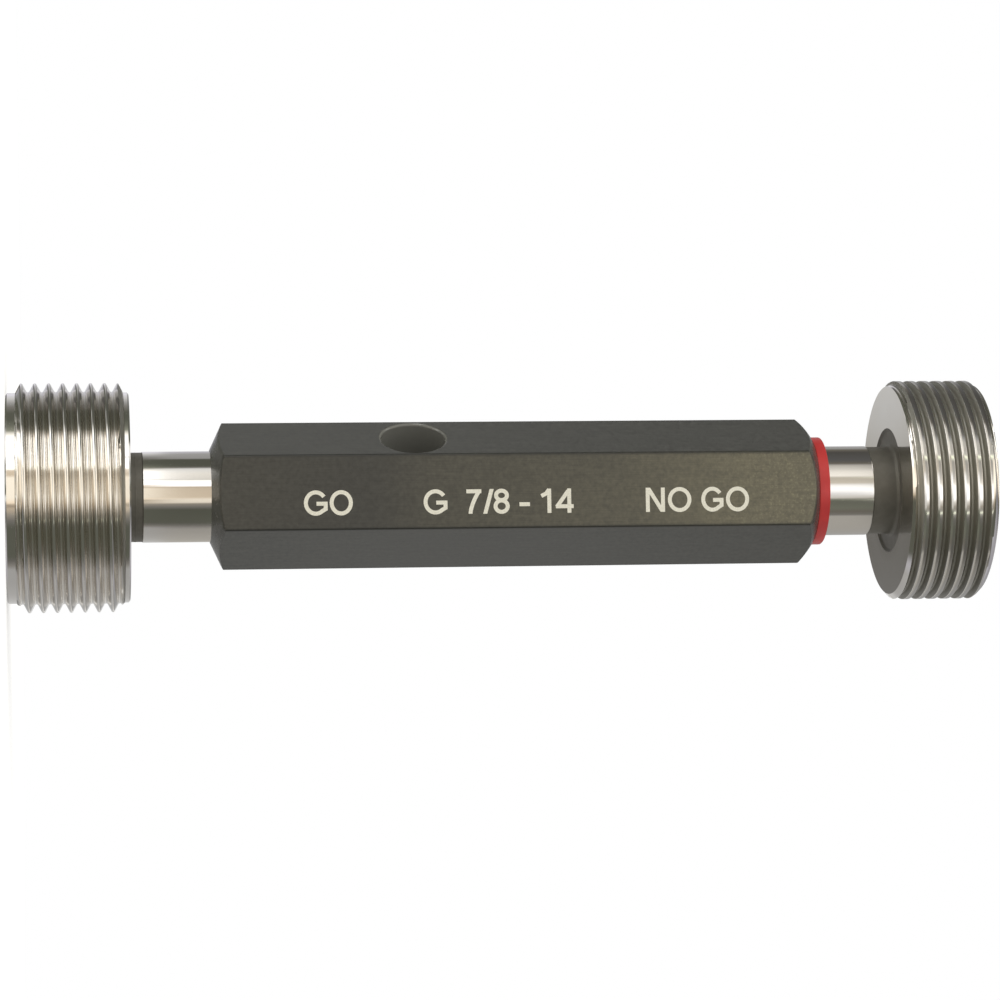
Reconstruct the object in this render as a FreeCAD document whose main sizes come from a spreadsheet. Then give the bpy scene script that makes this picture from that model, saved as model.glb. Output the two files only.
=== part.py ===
import FreeCAD, Part
import math
import os
from enum import IntEnum
import Sketcher

# Double-ended thread plug gauge for a 7/8 inch parallel pipe thread, in millimetres.
#
# A hexagonal handle carries a GO member in one end and a NO-GO member in the other. Each
# member is one piece of hardened steel: a threaded plug, a turned neck and a ground shank
# that ends in a 1:50 taper, which wedges in a seat of the handle's bore. A drift hole
# across the handle opens behind the GO member. A red ring on the handle's nose marks the
# NO-GO end.
#
# Row frame: the gauge stands on the outer face of the GO plug. The origin is the centre of
# that face, +Z runs along the axis towards the NO-GO plug, and -Y is the normal of the
# handle's marked flat.

SIZES = [
    # alias, millimetres or degrees, what it is
    ("thread_pitch", 1.8143, "14 threads to the inch"),
    ("flank_angle", 27.5, "degrees between a flank and the plane across the axis"),
    ("root_flat", 0.302, "width of the groove's floor"),
    ("groove_overshoot", 0.1, "how far the cutting profile stands out of the crest"),
    ("go_major_diameter", 30.2, "over the GO crests"),
    ("go_thread_depth", 1.162, "full form"),
    ("go_groove_phase", 0.146, "a groove's centre over the outer face, on the +X side"),
    ("go_plug_length", 16.0, "GO plug, face to face"),
    ("go_front_land", 1.25, "plain land before the GO thread"),
    ("go_back_land", 0.7, "plain land behind the GO thread"),
    ("land_clearance", 0.09, "the lands' radius lies this far below the root"),
    ("rim_chamfer", 0.2, "edge break of the GO plug's lands"),
    ("no_go_major_diameter", 29.6, "over the truncated NO-GO crests"),
    ("no_go_thread_depth", 0.79, "truncated form"),
    ("no_go_groove_phase", 0.498, "a groove's centre over the outer face, on the +X side"),
    ("no_go_plug_length", 11.7, "NO-GO plug, face to face"),
    ("no_go_chamfer", 0.75, "45 degree chamfers of the NO-GO plug"),
    ("recess_diameter", 16.7, "unground recess round the neck"),
    ("recess_depth", 0.3, "unground recess round the neck"),
    ("neck_diameter", 11.8, "turned undercut between plug and shank"),
    ("neck_fillet", 0.5, "root radius of the neck"),
    ("go_neck_length", 1.7, "from the plug's inner face to the ground shank"),
    ("no_go_neck_length", 3.2, "from the plug's inner face to the ground shank"),
    ("shank_diameter", 12.0, "ground shank"),
    ("go_shank_shown", 8.9, "ground shank outside the handle"),
    ("no_go_shank_shown", 6.3, "ground shank outside the handle"),
    ("no_go_insertion", 24.0, "tapered shank inside the handle"),
    ("taper_ratio", 50.0, "length for each unit of diameter"),
    ("tip_chamfer", 0.6, "at the tapered end"),
    ("centre_pilot_diameter", 2.5, "centre hole"),
    ("centre_mouth_diameter", 5.3, "centre hole"),
    ("centre_half_angle", 30.0, "degrees between the centre hole's cone and the axis"),
    ("centre_depth", 5.0, "centre hole"),
    ("hexagon_flats", 16.9, "across the handle's flats"),
    ("hexagon_length", 80.75, "handle without its nose"),
    ("corner_radius", 0.3, "drawn corners of the hexagon bar"),
    ("go_end_flat", 0.2, "width of the flat ring at the handle's GO end, round the shank"),
    ("go_end_angle", 25.0, "degrees between the end chamfer and the end face"),
    ("no_go_end_flat", 0.05, "width of the flat shoulder round the marking ring"),
    ("no_go_end_angle", 35.0, "degrees between the end chamfer and the end face"),
    ("seat_clearance", 0.01, "radial, between the taper and its seat"),
    ("seat_runout", 1.0, "seat beyond the end of its shank"),
    ("bore_diameter", 10.0, "bore between the two seats"),
    ("drift_diameter", 8.5, "drift hole"),
    ("drift_offset", 26.7, "drift hole's centre from the handle's GO end"),
    ("drift_direction", -60.0, "degrees about +Z from the marked flat to the drift hole's flat"),
    ("drift_clearance", 0.15, "between the GO shank's end and the drift hole"),
    ("drift_chamfer", 0.25, "edge break of the drift hole"),
    ("nose_wall", 0.5, "radial thickness of the nose, round the shank"),
    ("ring_width", 1.45, "marking ring, which covers the whole nose"),
    ("ring_wall", 0.73, "radial thickness of the marking ring"),
    ("ring_clearance", 0.02, "radial, between the ring and the nose"),
    ("ring_chamfer", 0.15, "edge break of the marking ring"),
]

# Places that follow from the sizes, as expressions on the sheet.
LAND_RADIUS = "(sizes.go_major_diameter / 2 - sizes.go_thread_depth - sizes.land_clearance)"
RUN_UP = f"((sizes.go_major_diameter / 2 - {LAND_RADIUS}) * tan(sizes.flank_angle))"
HANDLE_START = "(sizes.go_plug_length + sizes.go_neck_length + sizes.go_shank_shown)"
HANDLE_LENGTH = "(sizes.hexagon_length + sizes.ring_width)"
OVERALL_LENGTH = (
    f"({HANDLE_START} + {HANDLE_LENGTH} + sizes.no_go_shank_shown"
    " + sizes.no_go_neck_length + sizes.no_go_plug_length)"
)
GO_INSERTION = "(sizes.drift_offset - sizes.drift_diameter / 2 - sizes.drift_clearance)"
SEAT_RADIUS = "(sizes.shank_diameter / 2 + sizes.seat_clearance)"
CORNER_DISTANCE = "(sizes.hexagon_flats / sqrt(3))"
NOSE_RADIUS = "(sizes.shank_diameter / 2 + sizes.nose_wall)"
RING_BORE = f"({NOSE_RADIUS} + sizes.ring_clearance)"
RING_RADIUS = f"({RING_BORE} + sizes.ring_wall)"

EDGE_MATCH = 1e-3


class Own(IntEnum):
    """Sketcher's numbers for a sketch's own origin point and axes."""

    ORIGIN = -1
    H_AXIS = -1
    V_AXIS = -2


def make_sheet(doc):
    """Writes each size, its alias and its meaning into the driving sheet."""
    sheet = doc.addObject("Spreadsheet::Sheet", "sizes")
    for row, (alias, value, meaning) in enumerate(SIZES, start=1):
        sheet.set(f"A{row}", alias)
        sheet.set(f"B{row}", str(value))
        sheet.set(f"C{row}", meaning)
        sheet.setAlias(f"B{row}", alias)
    doc.recompute()
    return sheet


def make_body(doc, label):
    """A new body, whose label is the name of its piece."""
    body = doc.addObject("PartDesign::Body", label)
    body.Label = label
    return body


def sketch_on(body, name, role):
    """An empty sketch on one of the body's own origin planes."""
    sketch = body.newObject("Sketcher::SketchObject", name)
    planes = {feature.Role: feature for feature in body.Origin.OriginFeatures}
    sketch.AttachmentSupport = [(planes[role], "")]
    sketch.MapMode = "FlatFace"
    return sketch


def bind(sketch, kind, targets, expression):
    """Adds one dimension to a sketch and binds it to an expression on the sheet."""
    value = sketch.evalExpression(expression)
    index = sketch.addConstraint(Sketcher.Constraint(kind, *targets, value))
    sketch.setExpression(f"Constraints[{index}]", expression)


def profile(body, name, corners):
    """A closed half section on the XZ plane; each corner is a radius and a height.

    A corner's radius and height are expressions on the sheet, and "0" is on the axis.
    """
    sketch = sketch_on(body, name, "XZ_Plane")
    points = [
        FreeCAD.Vector(sketch.evalExpression(x), sketch.evalExpression(z), 0)
        for x, z in corners
    ]
    for start, end in zip(points, points[1:] + points[:1]):
        sketch.addGeometry(Part.LineSegment(start, end))
    for index, (x, z) in enumerate(corners):
        following = (index + 1) % len(corners)
        sketch.addConstraint(Sketcher.Constraint("Coincident", index, 2, following, 1))
        if x == "0":
            sketch.addConstraint(Sketcher.Constraint("PointOnObject", index, 1, Own.V_AXIS))
        else:
            bind(sketch, "DistanceX", (Own.ORIGIN, 1, index, 1), x)
        if z == "0":
            sketch.addConstraint(Sketcher.Constraint("PointOnObject", index, 1, Own.H_AXIS))
        else:
            bind(sketch, "DistanceY", (Own.ORIGIN, 1, index, 1), z)
    return sketch


def turn(body, name, corners, kind="PartDesign::Revolution"):
    """Turns a half section about the axis: adds it, or cuts it where kind is a Groove."""
    feature = body.newObject(kind, name)
    feature.Profile = profile(body, f"{name}_profile", corners)
    feature.ReferenceAxis = (feature.Profile[0], ["V_Axis"])
    feature.Angle = 360
    return feature


def cut_turned(body, name, corners):
    """Cuts a turned shape and makes sure that it takes material away."""
    before = body.Shape.Volume
    feature = turn(body, name, corners, "PartDesign::Groove")
    body.Document.recompute()
    check_cut(body, name, before)
    return feature


def check_cut(body, name, before):
    """A cut that points away from its solid takes nothing, and that is an error."""
    if not body.Shape.Volume < before:
        raise RuntimeError(f"{name} cuts nothing from {body.Label}")


def circles(shape, radius, height=None):
    """Names of a shape's round edges of one radius, all of them or those at one height."""
    names = []
    for index, edge in enumerate(shape.Edges, start=1):
        curve = edge.Curve
        if not isinstance(curve, Part.Circle) or abs(curve.Radius - radius) > EDGE_MATCH:
            continue
        if height is None or abs(curve.Center.z - height) < EDGE_MATCH:
            names.append(f"Edge{index}")
    return names


def ease(body, name, kind, edges, expression):
    """Rounds or chamfers edges of the body's present shape."""
    base = body.Tip
    property_name = "Radius" if kind == "PartDesign::Fillet" else "Size"
    feature = body.newObject(kind, name)
    feature.Base = (base, edges)
    feature.setExpression(property_name, expression)
    body.Document.recompute()
    return feature


def cut_thread(body, member):
    """Cuts one right-hand helical groove along the whole plug of a member.

    The groove is a trapezium: a flat floor at the root and flanks that open outwards. It
    starts two pitches outside the outer face and leaves past the inner one.
    """
    crest = f"(sizes.{member}_major_diameter / 2)"
    root = f"({crest} - sizes.{member}_thread_depth)"
    outside = f"({crest} + sizes.groove_overshoot)"
    flare = f"((sizes.{member}_thread_depth + sizes.groove_overshoot) * tan(sizes.flank_angle))"
    corners = [
        (outside, "0"),
        (root, flare),
        (root, f"{flare} + sizes.root_flat"),
        (outside, f"2 * {flare} + sizes.root_flat"),
    ]
    before = body.Shape.Volume
    feature = body.newObject("PartDesign::SubtractiveHelix", "thread_groove")
    groove = profile(body, "thread_groove_profile", corners)
    groove.setExpression(
        "AttachmentOffset.Base.y",
        f"sizes.{member}_groove_phase - 2 * sizes.thread_pitch - {flare} - sizes.root_flat / 2",
    )
    feature.Profile = groove
    feature.ReferenceAxis = (groove, ["V_Axis"])
    feature.Mode = "pitch-height-angle"
    feature.setExpression("Pitch", "sizes.thread_pitch")
    feature.setExpression("Height", f"sizes.{member}_plug_length + 3 * sizes.thread_pitch")
    feature.Angle = 0
    feature.LeftHanded = False
    feature.Refine = False
    body.Document.recompute()
    check_cut(body, "thread_groove", before)


def go_plug_outline():
    """The GO plug: a land at each face, and between them the blank of the thread."""
    crest = "sizes.go_major_diameter / 2"
    length = "sizes.go_plug_length"
    inner_land = f"{length} - sizes.go_back_land"
    return [
        (f"{LAND_RADIUS} - sizes.rim_chamfer", "0"),
        (LAND_RADIUS, "sizes.rim_chamfer"),
        (LAND_RADIUS, "sizes.go_front_land"),
        (crest, f"sizes.go_front_land + {RUN_UP}"),
        (crest, f"{inner_land} - {RUN_UP}"),
        (LAND_RADIUS, inner_land),
        (LAND_RADIUS, f"{length} - sizes.rim_chamfer"),
        (f"{LAND_RADIUS} - sizes.rim_chamfer", length),
    ]


def no_go_plug_outline():
    """The NO-GO plug: its thread runs out through a chamfer at each face."""
    crest = "sizes.no_go_major_diameter / 2"
    length = "sizes.no_go_plug_length"
    return [
        (f"{crest} - sizes.no_go_chamfer", "0"),
        (crest, "sizes.no_go_chamfer"),
        (crest, f"{length} - sizes.no_go_chamfer"),
        (f"{crest} - sizes.no_go_chamfer", length),
    ]


def make_member(doc, member, plug_outline, insertion):
    """One gauging member, from its outer face at the origin up to its tapered tip."""
    body = make_body(doc, f"{member}_member")
    pilot = "sizes.centre_pilot_diameter / 2"
    mouth = "sizes.centre_mouth_diameter / 2"
    cone_depth = f"({mouth} - {pilot}) / tan(sizes.centre_half_angle)"
    plug = f"sizes.{member}_plug_length"
    floor = f"({plug} - sizes.recess_depth)"
    neck_end = f"({plug} + sizes.{member}_neck_length)"
    mouth_height = f"({neck_end} + sizes.{member}_shank_shown)"
    tip = f"({mouth_height} + {insertion})"
    shank = "sizes.shank_diameter / 2"
    tip_radius = f"({shank} - ({insertion} - sizes.tip_chamfer) / (2 * sizes.taper_ratio))"
    corners = [
        ("0", "sizes.centre_depth"),
        (pilot, "sizes.centre_depth"),
        (pilot, cone_depth),
        (mouth, "0"),
        *plug_outline,
        ("sizes.recess_diameter / 2", plug),
        ("sizes.recess_diameter / 2", floor),
        ("sizes.neck_diameter / 2", floor),
        ("sizes.neck_diameter / 2", neck_end),
        (shank, neck_end),
        (shank, mouth_height),
        (tip_radius, f"{tip} - sizes.tip_chamfer"),
        (f"{tip_radius} - sizes.tip_chamfer", tip),
        ("0", tip),
    ]
    turn(body, "blank", corners)
    doc.recompute()
    neck = body.evalExpression("sizes.neck_diameter / 2")
    root_edge = circles(body.Shape, neck, body.evalExpression(floor))
    ease(body, "neck_root", "PartDesign::Fillet", root_edge, "sizes.neck_fillet")
    cut_thread(body, member)
    return body


def hexagon(body, name, corner_distance):
    """A regular hexagon about the origin, with a corner on the +X axis."""
    sketch = sketch_on(body, name, "XY_Plane")
    reach = sketch.evalExpression(corner_distance)
    points = [
        FreeCAD.Vector(reach * math.cos(turned), reach * math.sin(turned), 0)
        for turned in (math.radians(60 * side) for side in range(6))
    ]
    for start, end in zip(points, points[1:] + points[:1]):
        sketch.addGeometry(Part.LineSegment(start, end))
    circle = sketch.addGeometry(
        Part.Circle(FreeCAD.Vector(0, 0, 0), FreeCAD.Vector(0, 0, 1), reach), True
    )
    sketch.addConstraint(Sketcher.Constraint("Coincident", circle, 3, Own.ORIGIN, 1))
    bind(sketch, "Radius", (circle,), corner_distance)
    for side in range(6):
        following = (side + 1) % 6
        sketch.addConstraint(Sketcher.Constraint("Coincident", side, 2, following, 1))
        sketch.addConstraint(Sketcher.Constraint("PointOnObject", side, 1, circle))
        if side:
            sketch.addConstraint(Sketcher.Constraint("Equal", 0, side))
    sketch.addConstraint(Sketcher.Constraint("PointOnObject", 0, 1, Own.H_AXIS))
    return sketch


def long_edges(shape, length):
    """Names of the straight edges along Z that are as long as the bar."""
    names = []
    for index, edge in enumerate(shape.Edges, start=1):
        rise = abs(edge.Vertexes[0].Point.z - edge.Vertexes[-1].Point.z)
        if abs(rise - length) < EDGE_MATCH and abs(edge.Length - length) < EDGE_MATCH:
            names.append(f"Edge{index}")
    return names


def cut_drift_hole(body):
    """A round hole right across the handle, square to one flat, with its edges eased."""
    sketch = sketch_on(body, "drift_hole_profile", "XZ_Plane")
    sketch.addGeometry(Part.Circle(FreeCAD.Vector(0, 0, 0), FreeCAD.Vector(0, 0, 1), 1))
    sketch.addConstraint(Sketcher.Constraint("Coincident", 0, 3, Own.ORIGIN, 1))
    bind(sketch, "Radius", (0,), "sizes.drift_diameter / 2")
    sketch.setExpression("AttachmentOffset.Base.y", "sizes.drift_offset")
    sketch.setExpression("AttachmentOffset.Rotation.Axis.y", "1")
    sketch.setExpression("AttachmentOffset.Rotation.Axis.z", "0")
    sketch.setExpression("AttachmentOffset.Rotation.Angle", "sizes.drift_direction")
    before = body.Shape.Volume
    pocket = body.newObject("PartDesign::Pocket", "drift_hole")
    pocket.Profile = sketch
    pocket.Midplane = True
    pocket.setExpression("Length", "2 * sizes.hexagon_flats")
    body.Document.recompute()
    check_cut(body, "drift_hole", before)
    rims = circles(body.Shape, body.evalExpression("sizes.drift_diameter / 2"))
    ease(body, "drift_edges", "PartDesign::Chamfer", rims, "sizes.drift_chamfer")


def make_handle(doc):
    """The handle, from the ring face at its GO end up to the end of its nose."""
    body = make_body(doc, "handle")
    bar = body.newObject("PartDesign::Pad", "bar")
    bar.Profile = hexagon(body, "bar_profile", CORNER_DISTANCE)
    bar.setExpression("Length", "sizes.hexagon_length")
    doc.recompute()
    corners = long_edges(body.Shape, body.evalExpression("sizes.hexagon_length"))
    ease(body, "bar_corners", "PartDesign::Fillet", corners, "sizes.corner_radius")

    outside = f"(2 * {CORNER_DISTANCE})"
    length = "sizes.hexagon_length"
    go_end = "(sizes.shank_diameter / 2 + sizes.go_end_flat)"
    go_rise = f"(({outside} - {go_end}) * tan(sizes.go_end_angle))"
    cut_turned(body, "go_end_chamfer", [(go_end, "0"), (outside, "0"), (outside, go_rise)])
    no_go_end = f"({RING_RADIUS} + sizes.no_go_end_flat)"
    no_go_rise = f"(({outside} - {no_go_end}) * tan(sizes.no_go_end_angle))"
    cut_turned(
        body,
        "no_go_end_chamfer",
        [(no_go_end, length), (outside, length), (outside, f"{length} - {no_go_rise}")],
    )

    nose_root = f"{length} - sizes.ring_width"
    turn(
        body,
        "nose",
        [
            ("0", nose_root),
            (NOSE_RADIUS, nose_root),
            (NOSE_RADIUS, HANDLE_LENGTH),
            ("0", HANDLE_LENGTH),
        ],
    )
    doc.recompute()

    bore = "sizes.bore_diameter / 2"
    go_seat = f"({GO_INSERTION} + sizes.seat_runout)"
    no_go_seat = "(sizes.no_go_insertion + sizes.seat_runout)"
    cut_turned(
        body,
        "seats",
        [
            ("0", "0"),
            (SEAT_RADIUS, "0"),
            (f"{SEAT_RADIUS} - {go_seat} / (2 * sizes.taper_ratio)", go_seat),
            (bore, go_seat),
            (bore, f"{HANDLE_LENGTH} - {no_go_seat}"),
            (
                f"{SEAT_RADIUS} - {no_go_seat} / (2 * sizes.taper_ratio)",
                f"{HANDLE_LENGTH} - {no_go_seat}",
            ),
            (SEAT_RADIUS, HANDLE_LENGTH),
            ("0", HANDLE_LENGTH),
        ],
    )
    cut_drift_hole(body)
    body.setExpression("Placement.Base.z", HANDLE_START)
    return body


def make_ring(doc):
    """The marking ring, which sits on the nose against the handle's shoulder."""
    body = make_body(doc, "no_go_ring")
    turn(
        body,
        "ring",
        [
            (RING_BORE, "0"),
            (f"{RING_RADIUS} - sizes.ring_chamfer", "0"),
            (RING_RADIUS, "sizes.ring_chamfer"),
            (RING_RADIUS, "sizes.ring_width - sizes.ring_chamfer"),
            (f"{RING_RADIUS} - sizes.ring_chamfer", "sizes.ring_width"),
            (RING_BORE, "sizes.ring_width"),
        ],
    )
    body.setExpression("Placement.Base.z", f"{HANDLE_START} + sizes.hexagon_length")
    return body


def check(doc, pieces):
    """Stops with a plain message if an object failed or a piece has no sound solid."""
    for thing in doc.Objects:
        if "Invalid" in thing.State or "Error" in thing.State:
            raise RuntimeError(f"{thing.Label} failed: {thing.State}")
    for piece in pieces:
        shape = piece.Shape
        if shape.isNull() or not shape.isValid() or len(shape.Solids) != 1:
            raise RuntimeError(f"{piece.Label} isn't one sound solid")


doc = FreeCAD.newDocument("thread_plug_gauge")
make_sheet(doc)
go_member = make_member(doc, "go", go_plug_outline(), GO_INSERTION)
no_go_member = make_member(doc, "no_go", no_go_plug_outline(), "sizes.no_go_insertion")
# The NO-GO member is turned over, so that its shank points down into the handle.
no_go_member.Placement = FreeCAD.Placement(
    FreeCAD.Vector(0, 0, 0), FreeCAD.Rotation(FreeCAD.Vector(0, 1, 0), 180)
)
no_go_member.setExpression("Placement.Base.z", OVERALL_LENGTH)
handle = make_handle(doc)
ring = make_ring(doc)
doc.recompute()

pieces = [go_member, no_go_member, handle, ring]
check(doc, pieces)
os.makedirs("parts", exist_ok=True)
for piece in pieces:
    piece.Shape.exportStep(f"parts/{piece.Label}.step")
    box = piece.Shape.optimalBoundingBox(False)
    print(
        f"{piece.Label}: {piece.Shape.Volume / 1000:.3f} cm3,"
        f" Z {box.ZMin:.2f} to {box.ZMax:.2f}, {len(piece.Shape.Faces)} faces"
    )
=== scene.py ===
import logging
import math
from dataclasses import dataclass, field
from enum import Enum
from typing import Any, Callable, Sequence

import bmesh
import bpy
import numpy as np
from mathutils import Matrix, Vector


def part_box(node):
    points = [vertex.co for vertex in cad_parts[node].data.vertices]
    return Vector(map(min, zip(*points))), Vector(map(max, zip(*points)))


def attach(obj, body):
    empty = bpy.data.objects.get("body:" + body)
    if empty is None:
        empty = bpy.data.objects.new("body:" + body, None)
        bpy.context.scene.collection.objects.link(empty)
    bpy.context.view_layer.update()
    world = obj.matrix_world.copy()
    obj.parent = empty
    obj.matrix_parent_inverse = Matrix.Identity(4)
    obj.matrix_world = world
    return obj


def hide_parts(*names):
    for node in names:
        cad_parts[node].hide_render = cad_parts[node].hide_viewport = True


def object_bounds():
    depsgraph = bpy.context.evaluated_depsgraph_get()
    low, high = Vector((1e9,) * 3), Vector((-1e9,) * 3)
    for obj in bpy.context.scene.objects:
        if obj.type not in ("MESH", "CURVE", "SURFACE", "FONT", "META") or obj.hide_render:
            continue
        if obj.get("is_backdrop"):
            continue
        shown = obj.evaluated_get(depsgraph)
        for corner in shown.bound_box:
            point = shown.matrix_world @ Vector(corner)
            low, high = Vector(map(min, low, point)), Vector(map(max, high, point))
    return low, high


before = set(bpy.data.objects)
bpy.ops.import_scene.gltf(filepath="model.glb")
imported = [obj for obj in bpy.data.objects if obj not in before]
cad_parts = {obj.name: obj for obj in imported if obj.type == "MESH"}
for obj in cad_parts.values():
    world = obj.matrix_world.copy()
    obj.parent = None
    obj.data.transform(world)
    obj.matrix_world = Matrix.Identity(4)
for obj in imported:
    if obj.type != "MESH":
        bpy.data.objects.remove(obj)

# Double-ended thread plug gauge: a GO plug and a NO-GO plug on ground shanks, in the two
# ends of one blackened hexagon handle, with a red marking ring at the NO-GO end.
#
# The gauge stands on the outer face of its GO plug. +Z runs along its axis to the NO-GO
# plug, and -Y is the normal of the handle's marked flat. Sizes are written in millimetres
# and angles in degrees, and the meshes are in metres.

LOG = logging.getLogger("thread_plug_gauge")
MM = 0.001
TURN = 2.0 * math.pi
MERGE_DISTANCE = 2e-8
SUPPORT = 0.02

Rows = list[np.ndarray]


class Slot(Enum):
    """The record's material slots."""

    STEEL = "gauge_steel"
    HANDLE = "handle_black"
    RING = "ring_red"


class End(Enum):
    """The two gauging ends, each named for its CAD node."""

    GO = "go_member"
    NO_GO = "no_go_member"


# ---------------------------------------------------------------- shapes


def circle_row(radius: float | np.ndarray, height: float, angles: np.ndarray) -> np.ndarray:
    """One ring of points about Z: x = r cos a, y = r sin a, z = height.

    Args:
        radius: One radius, or one for each angle, in millimetres.
        height: Z of the ring, in millimetres.
        angles: Angles about Z, in radians.

    Returns:
        An array of points, one row for each angle.
    """
    radii = np.broadcast_to(radius, angles.shape)
    return np.stack([radii * np.cos(angles), radii * np.sin(angles), np.full_like(angles, height)], 1)


def around(columns: int) -> np.ndarray:
    """Evenly spaced angles of one full turn, in radians."""
    return np.arange(columns) * TURN / columns


def rounded_path(corners: Sequence[tuple[float, float, float]], steps: int = 4) -> np.ndarray:
    """A half section whose corners are rounded by tangent arcs.

    Each corner has a radius of its own. With half the angle between its two sides h, the
    arc touches both sides at radius / tan(h) from the corner, and its centre lies on the
    bisector at radius / sin(h). A point just outside each end of an arc keeps the shading
    of the flat side level.

    Args:
        corners: For each corner its distance from the axis, its height and its radius.
        steps: Segments of each arc.

    Returns:
        Points (distance from the axis, height), in millimetres.
    """
    points = np.array([corner[:2] for corner in corners], float)
    path = [points[0]]
    for index in range(1, len(points) - 1):
        here, radius = points[index], corners[index][2]
        back, ahead = points[index - 1] - here, points[index + 1] - here
        back, ahead = back / np.linalg.norm(back), ahead / np.linalg.norm(ahead)
        half = math.acos(float(np.clip(back @ ahead, -1.0, 1.0))) / 2
        if radius <= 0.0 or half > math.radians(89.5):
            path.append(here)
            continue
        tangent = radius / math.tan(half)
        room = [np.linalg.norm(points[index + side] - here) / 2 > tangent + SUPPORT for side in (-1, 1)]
        bisector = (back + ahead) / np.linalg.norm(back + ahead)
        centre = here + bisector * radius / math.sin(half)
        first = here + back * tangent - centre
        last = here + ahead * tangent - centre
        swept = math.acos(float(np.clip(first @ last / radius**2, -1.0, 1.0)))
        share = np.linspace(0.0, 1.0, steps + 1)[:, None]
        arc = (np.sin((1 - share) * swept) * first + np.sin(share * swept) * last) / math.sin(swept)
        if room[0]:
            path.append(here + back * (tangent + SUPPORT))
        path.extend(centre + arc)
        if room[1]:
            path.append(here + ahead * (tangent + SUPPORT))
    path.append(points[-1])
    return np.array(path)


def quads(rows: int, columns: int, shift: int = 0, close_rows: bool = False) -> np.ndarray:
    """Faces of a grid whose columns run round and meet again.

    A helical grid climbs one pitch in a turn, so its last column meets the first one
    shift rows further on. Past the last row there is nothing, so the row number stops
    there.

    Args:
        rows: Rows of the grid.
        columns: Columns of the grid.
        shift: Rows that the grid climbs in one turn.
        close_rows: Whether the last row meets the first one again.

    Returns:
        Four vertex numbers for each face.
    """
    row = np.arange(rows if close_rows else rows - 1)[:, None]
    column = np.arange(columns)[None, :]
    above = (row + 1) % rows
    following = (column + 1) % columns
    climb = np.where(column == columns - 1, shift, 0)
    low = np.minimum(row + climb, rows - 1) if shift else row + climb
    high = np.minimum(above + climb, rows - 1) if shift else above + climb
    corners = [
        row * columns + column,
        low * columns + following,
        high * columns + following,
        above * columns + column,
    ]
    return np.stack([np.broadcast_to(c, (row.size, columns)) for c in corners], -1).reshape(-1, 4)


@dataclass
class Surface:
    """Grids that make one closed surface, in millimetres, before it becomes a mesh."""

    vertices: list[np.ndarray] = field(default_factory=list)
    faces: list[np.ndarray] = field(default_factory=list)
    finishes: list[np.ndarray] = field(default_factory=list)
    count: int = 0

    def add(self, points: np.ndarray, faces: np.ndarray, finish: int | np.ndarray = 0) -> None:
        """Adds one grid.

        Args:
            points: Vertices of the grid.
            faces: Its faces, counted from its own first vertex.
            finish: Material number of all its faces, or of each one.
        """
        self.vertices.append(points.reshape(-1, 3))
        self.faces.append(faces + self.count)
        self.finishes.append(np.broadcast_to(finish, len(faces)))
        self.count += self.vertices[-1].shape[0]

    def add_rows(self, rows: Rows, finish: int | np.ndarray = 0, close_rows: bool = False) -> None:
        """Adds rings of points that follow each other along a section."""
        points = np.stack(rows)
        self.add(points, quads(points.shape[0], points.shape[1], 0, close_rows), finish)

    def to_object(self, name: str, materials: Sequence[bpy.types.Material], sharp: float) -> bpy.types.Object:
        """Turns the grids into one closed mesh object at the origin.

        Coincident points are merged, which closes the seams and the poles. A negative
        volume means that the faces look inwards, and then all of them are turned.

        Args:
            name: Name of the object.
            materials: Materials, in the order of the finish numbers.
            sharp: Degrees between two faces past which their edge is sharp.

        Returns:
            The new object.
        """
        mesh = bpy.data.meshes.new(name)
        points = np.concatenate(self.vertices) * MM
        mesh.from_pydata(points.tolist(), [], np.concatenate(self.faces).tolist())
        mesh.polygons.foreach_set("material_index", np.concatenate(self.finishes).astype(np.int32))
        work = bmesh.new()
        work.from_mesh(mesh)
        bmesh.ops.remove_doubles(work, verts=work.verts, dist=MERGE_DISTANCE)
        if work.calc_volume(signed=True) < 0.0:
            bmesh.ops.reverse_faces(work, faces=work.faces)
        work.to_mesh(mesh)
        work.free()
        for material in materials:
            mesh.materials.append(material)
        mesh.shade_smooth()
        mesh.set_sharp_from_angle(angle=math.radians(sharp))
        thing = bpy.data.objects.new(name, mesh)
        bpy.context.scene.collection.objects.link(thing)
        return thing


def point_attribute(thing: bpy.types.Object, name: str, rule: Callable[[np.ndarray], np.ndarray]) -> None:
    """Stores one number for each vertex, worked out from its place.

    Args:
        thing: The mesh object.
        name: Name of the attribute.
        rule: Gives the numbers for an array of points in millimetres.
    """
    mesh = thing.data
    points = np.empty(len(mesh.vertices) * 3)
    mesh.vertices.foreach_get("co", points)
    layer = mesh.attributes.new(name, "FLOAT", "POINT")
    layer.data.foreach_set("value", rule(points.reshape(-1, 3) / MM).astype(np.float32))


# ---------------------------------------------------------------- materials


def linear_rgb(code: str, alpha: float = 1.0) -> tuple[float, float, float, float]:
    """Turns an sRGB hex colour into linear light.

    Args:
        code: Six hex digits with a leading hash sign.
        alpha: Opacity.

    Returns:
        Red, green, blue and alpha, each from 0 to 1.
    """
    parts = [int(code[place : place + 2], 16) / 255 for place in (1, 3, 5)]
    red, green, blue = [p / 12.92 if p <= 0.04045 else ((p + 0.055) / 1.055) ** 2.4 for p in parts]
    return red, green, blue, alpha


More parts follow.
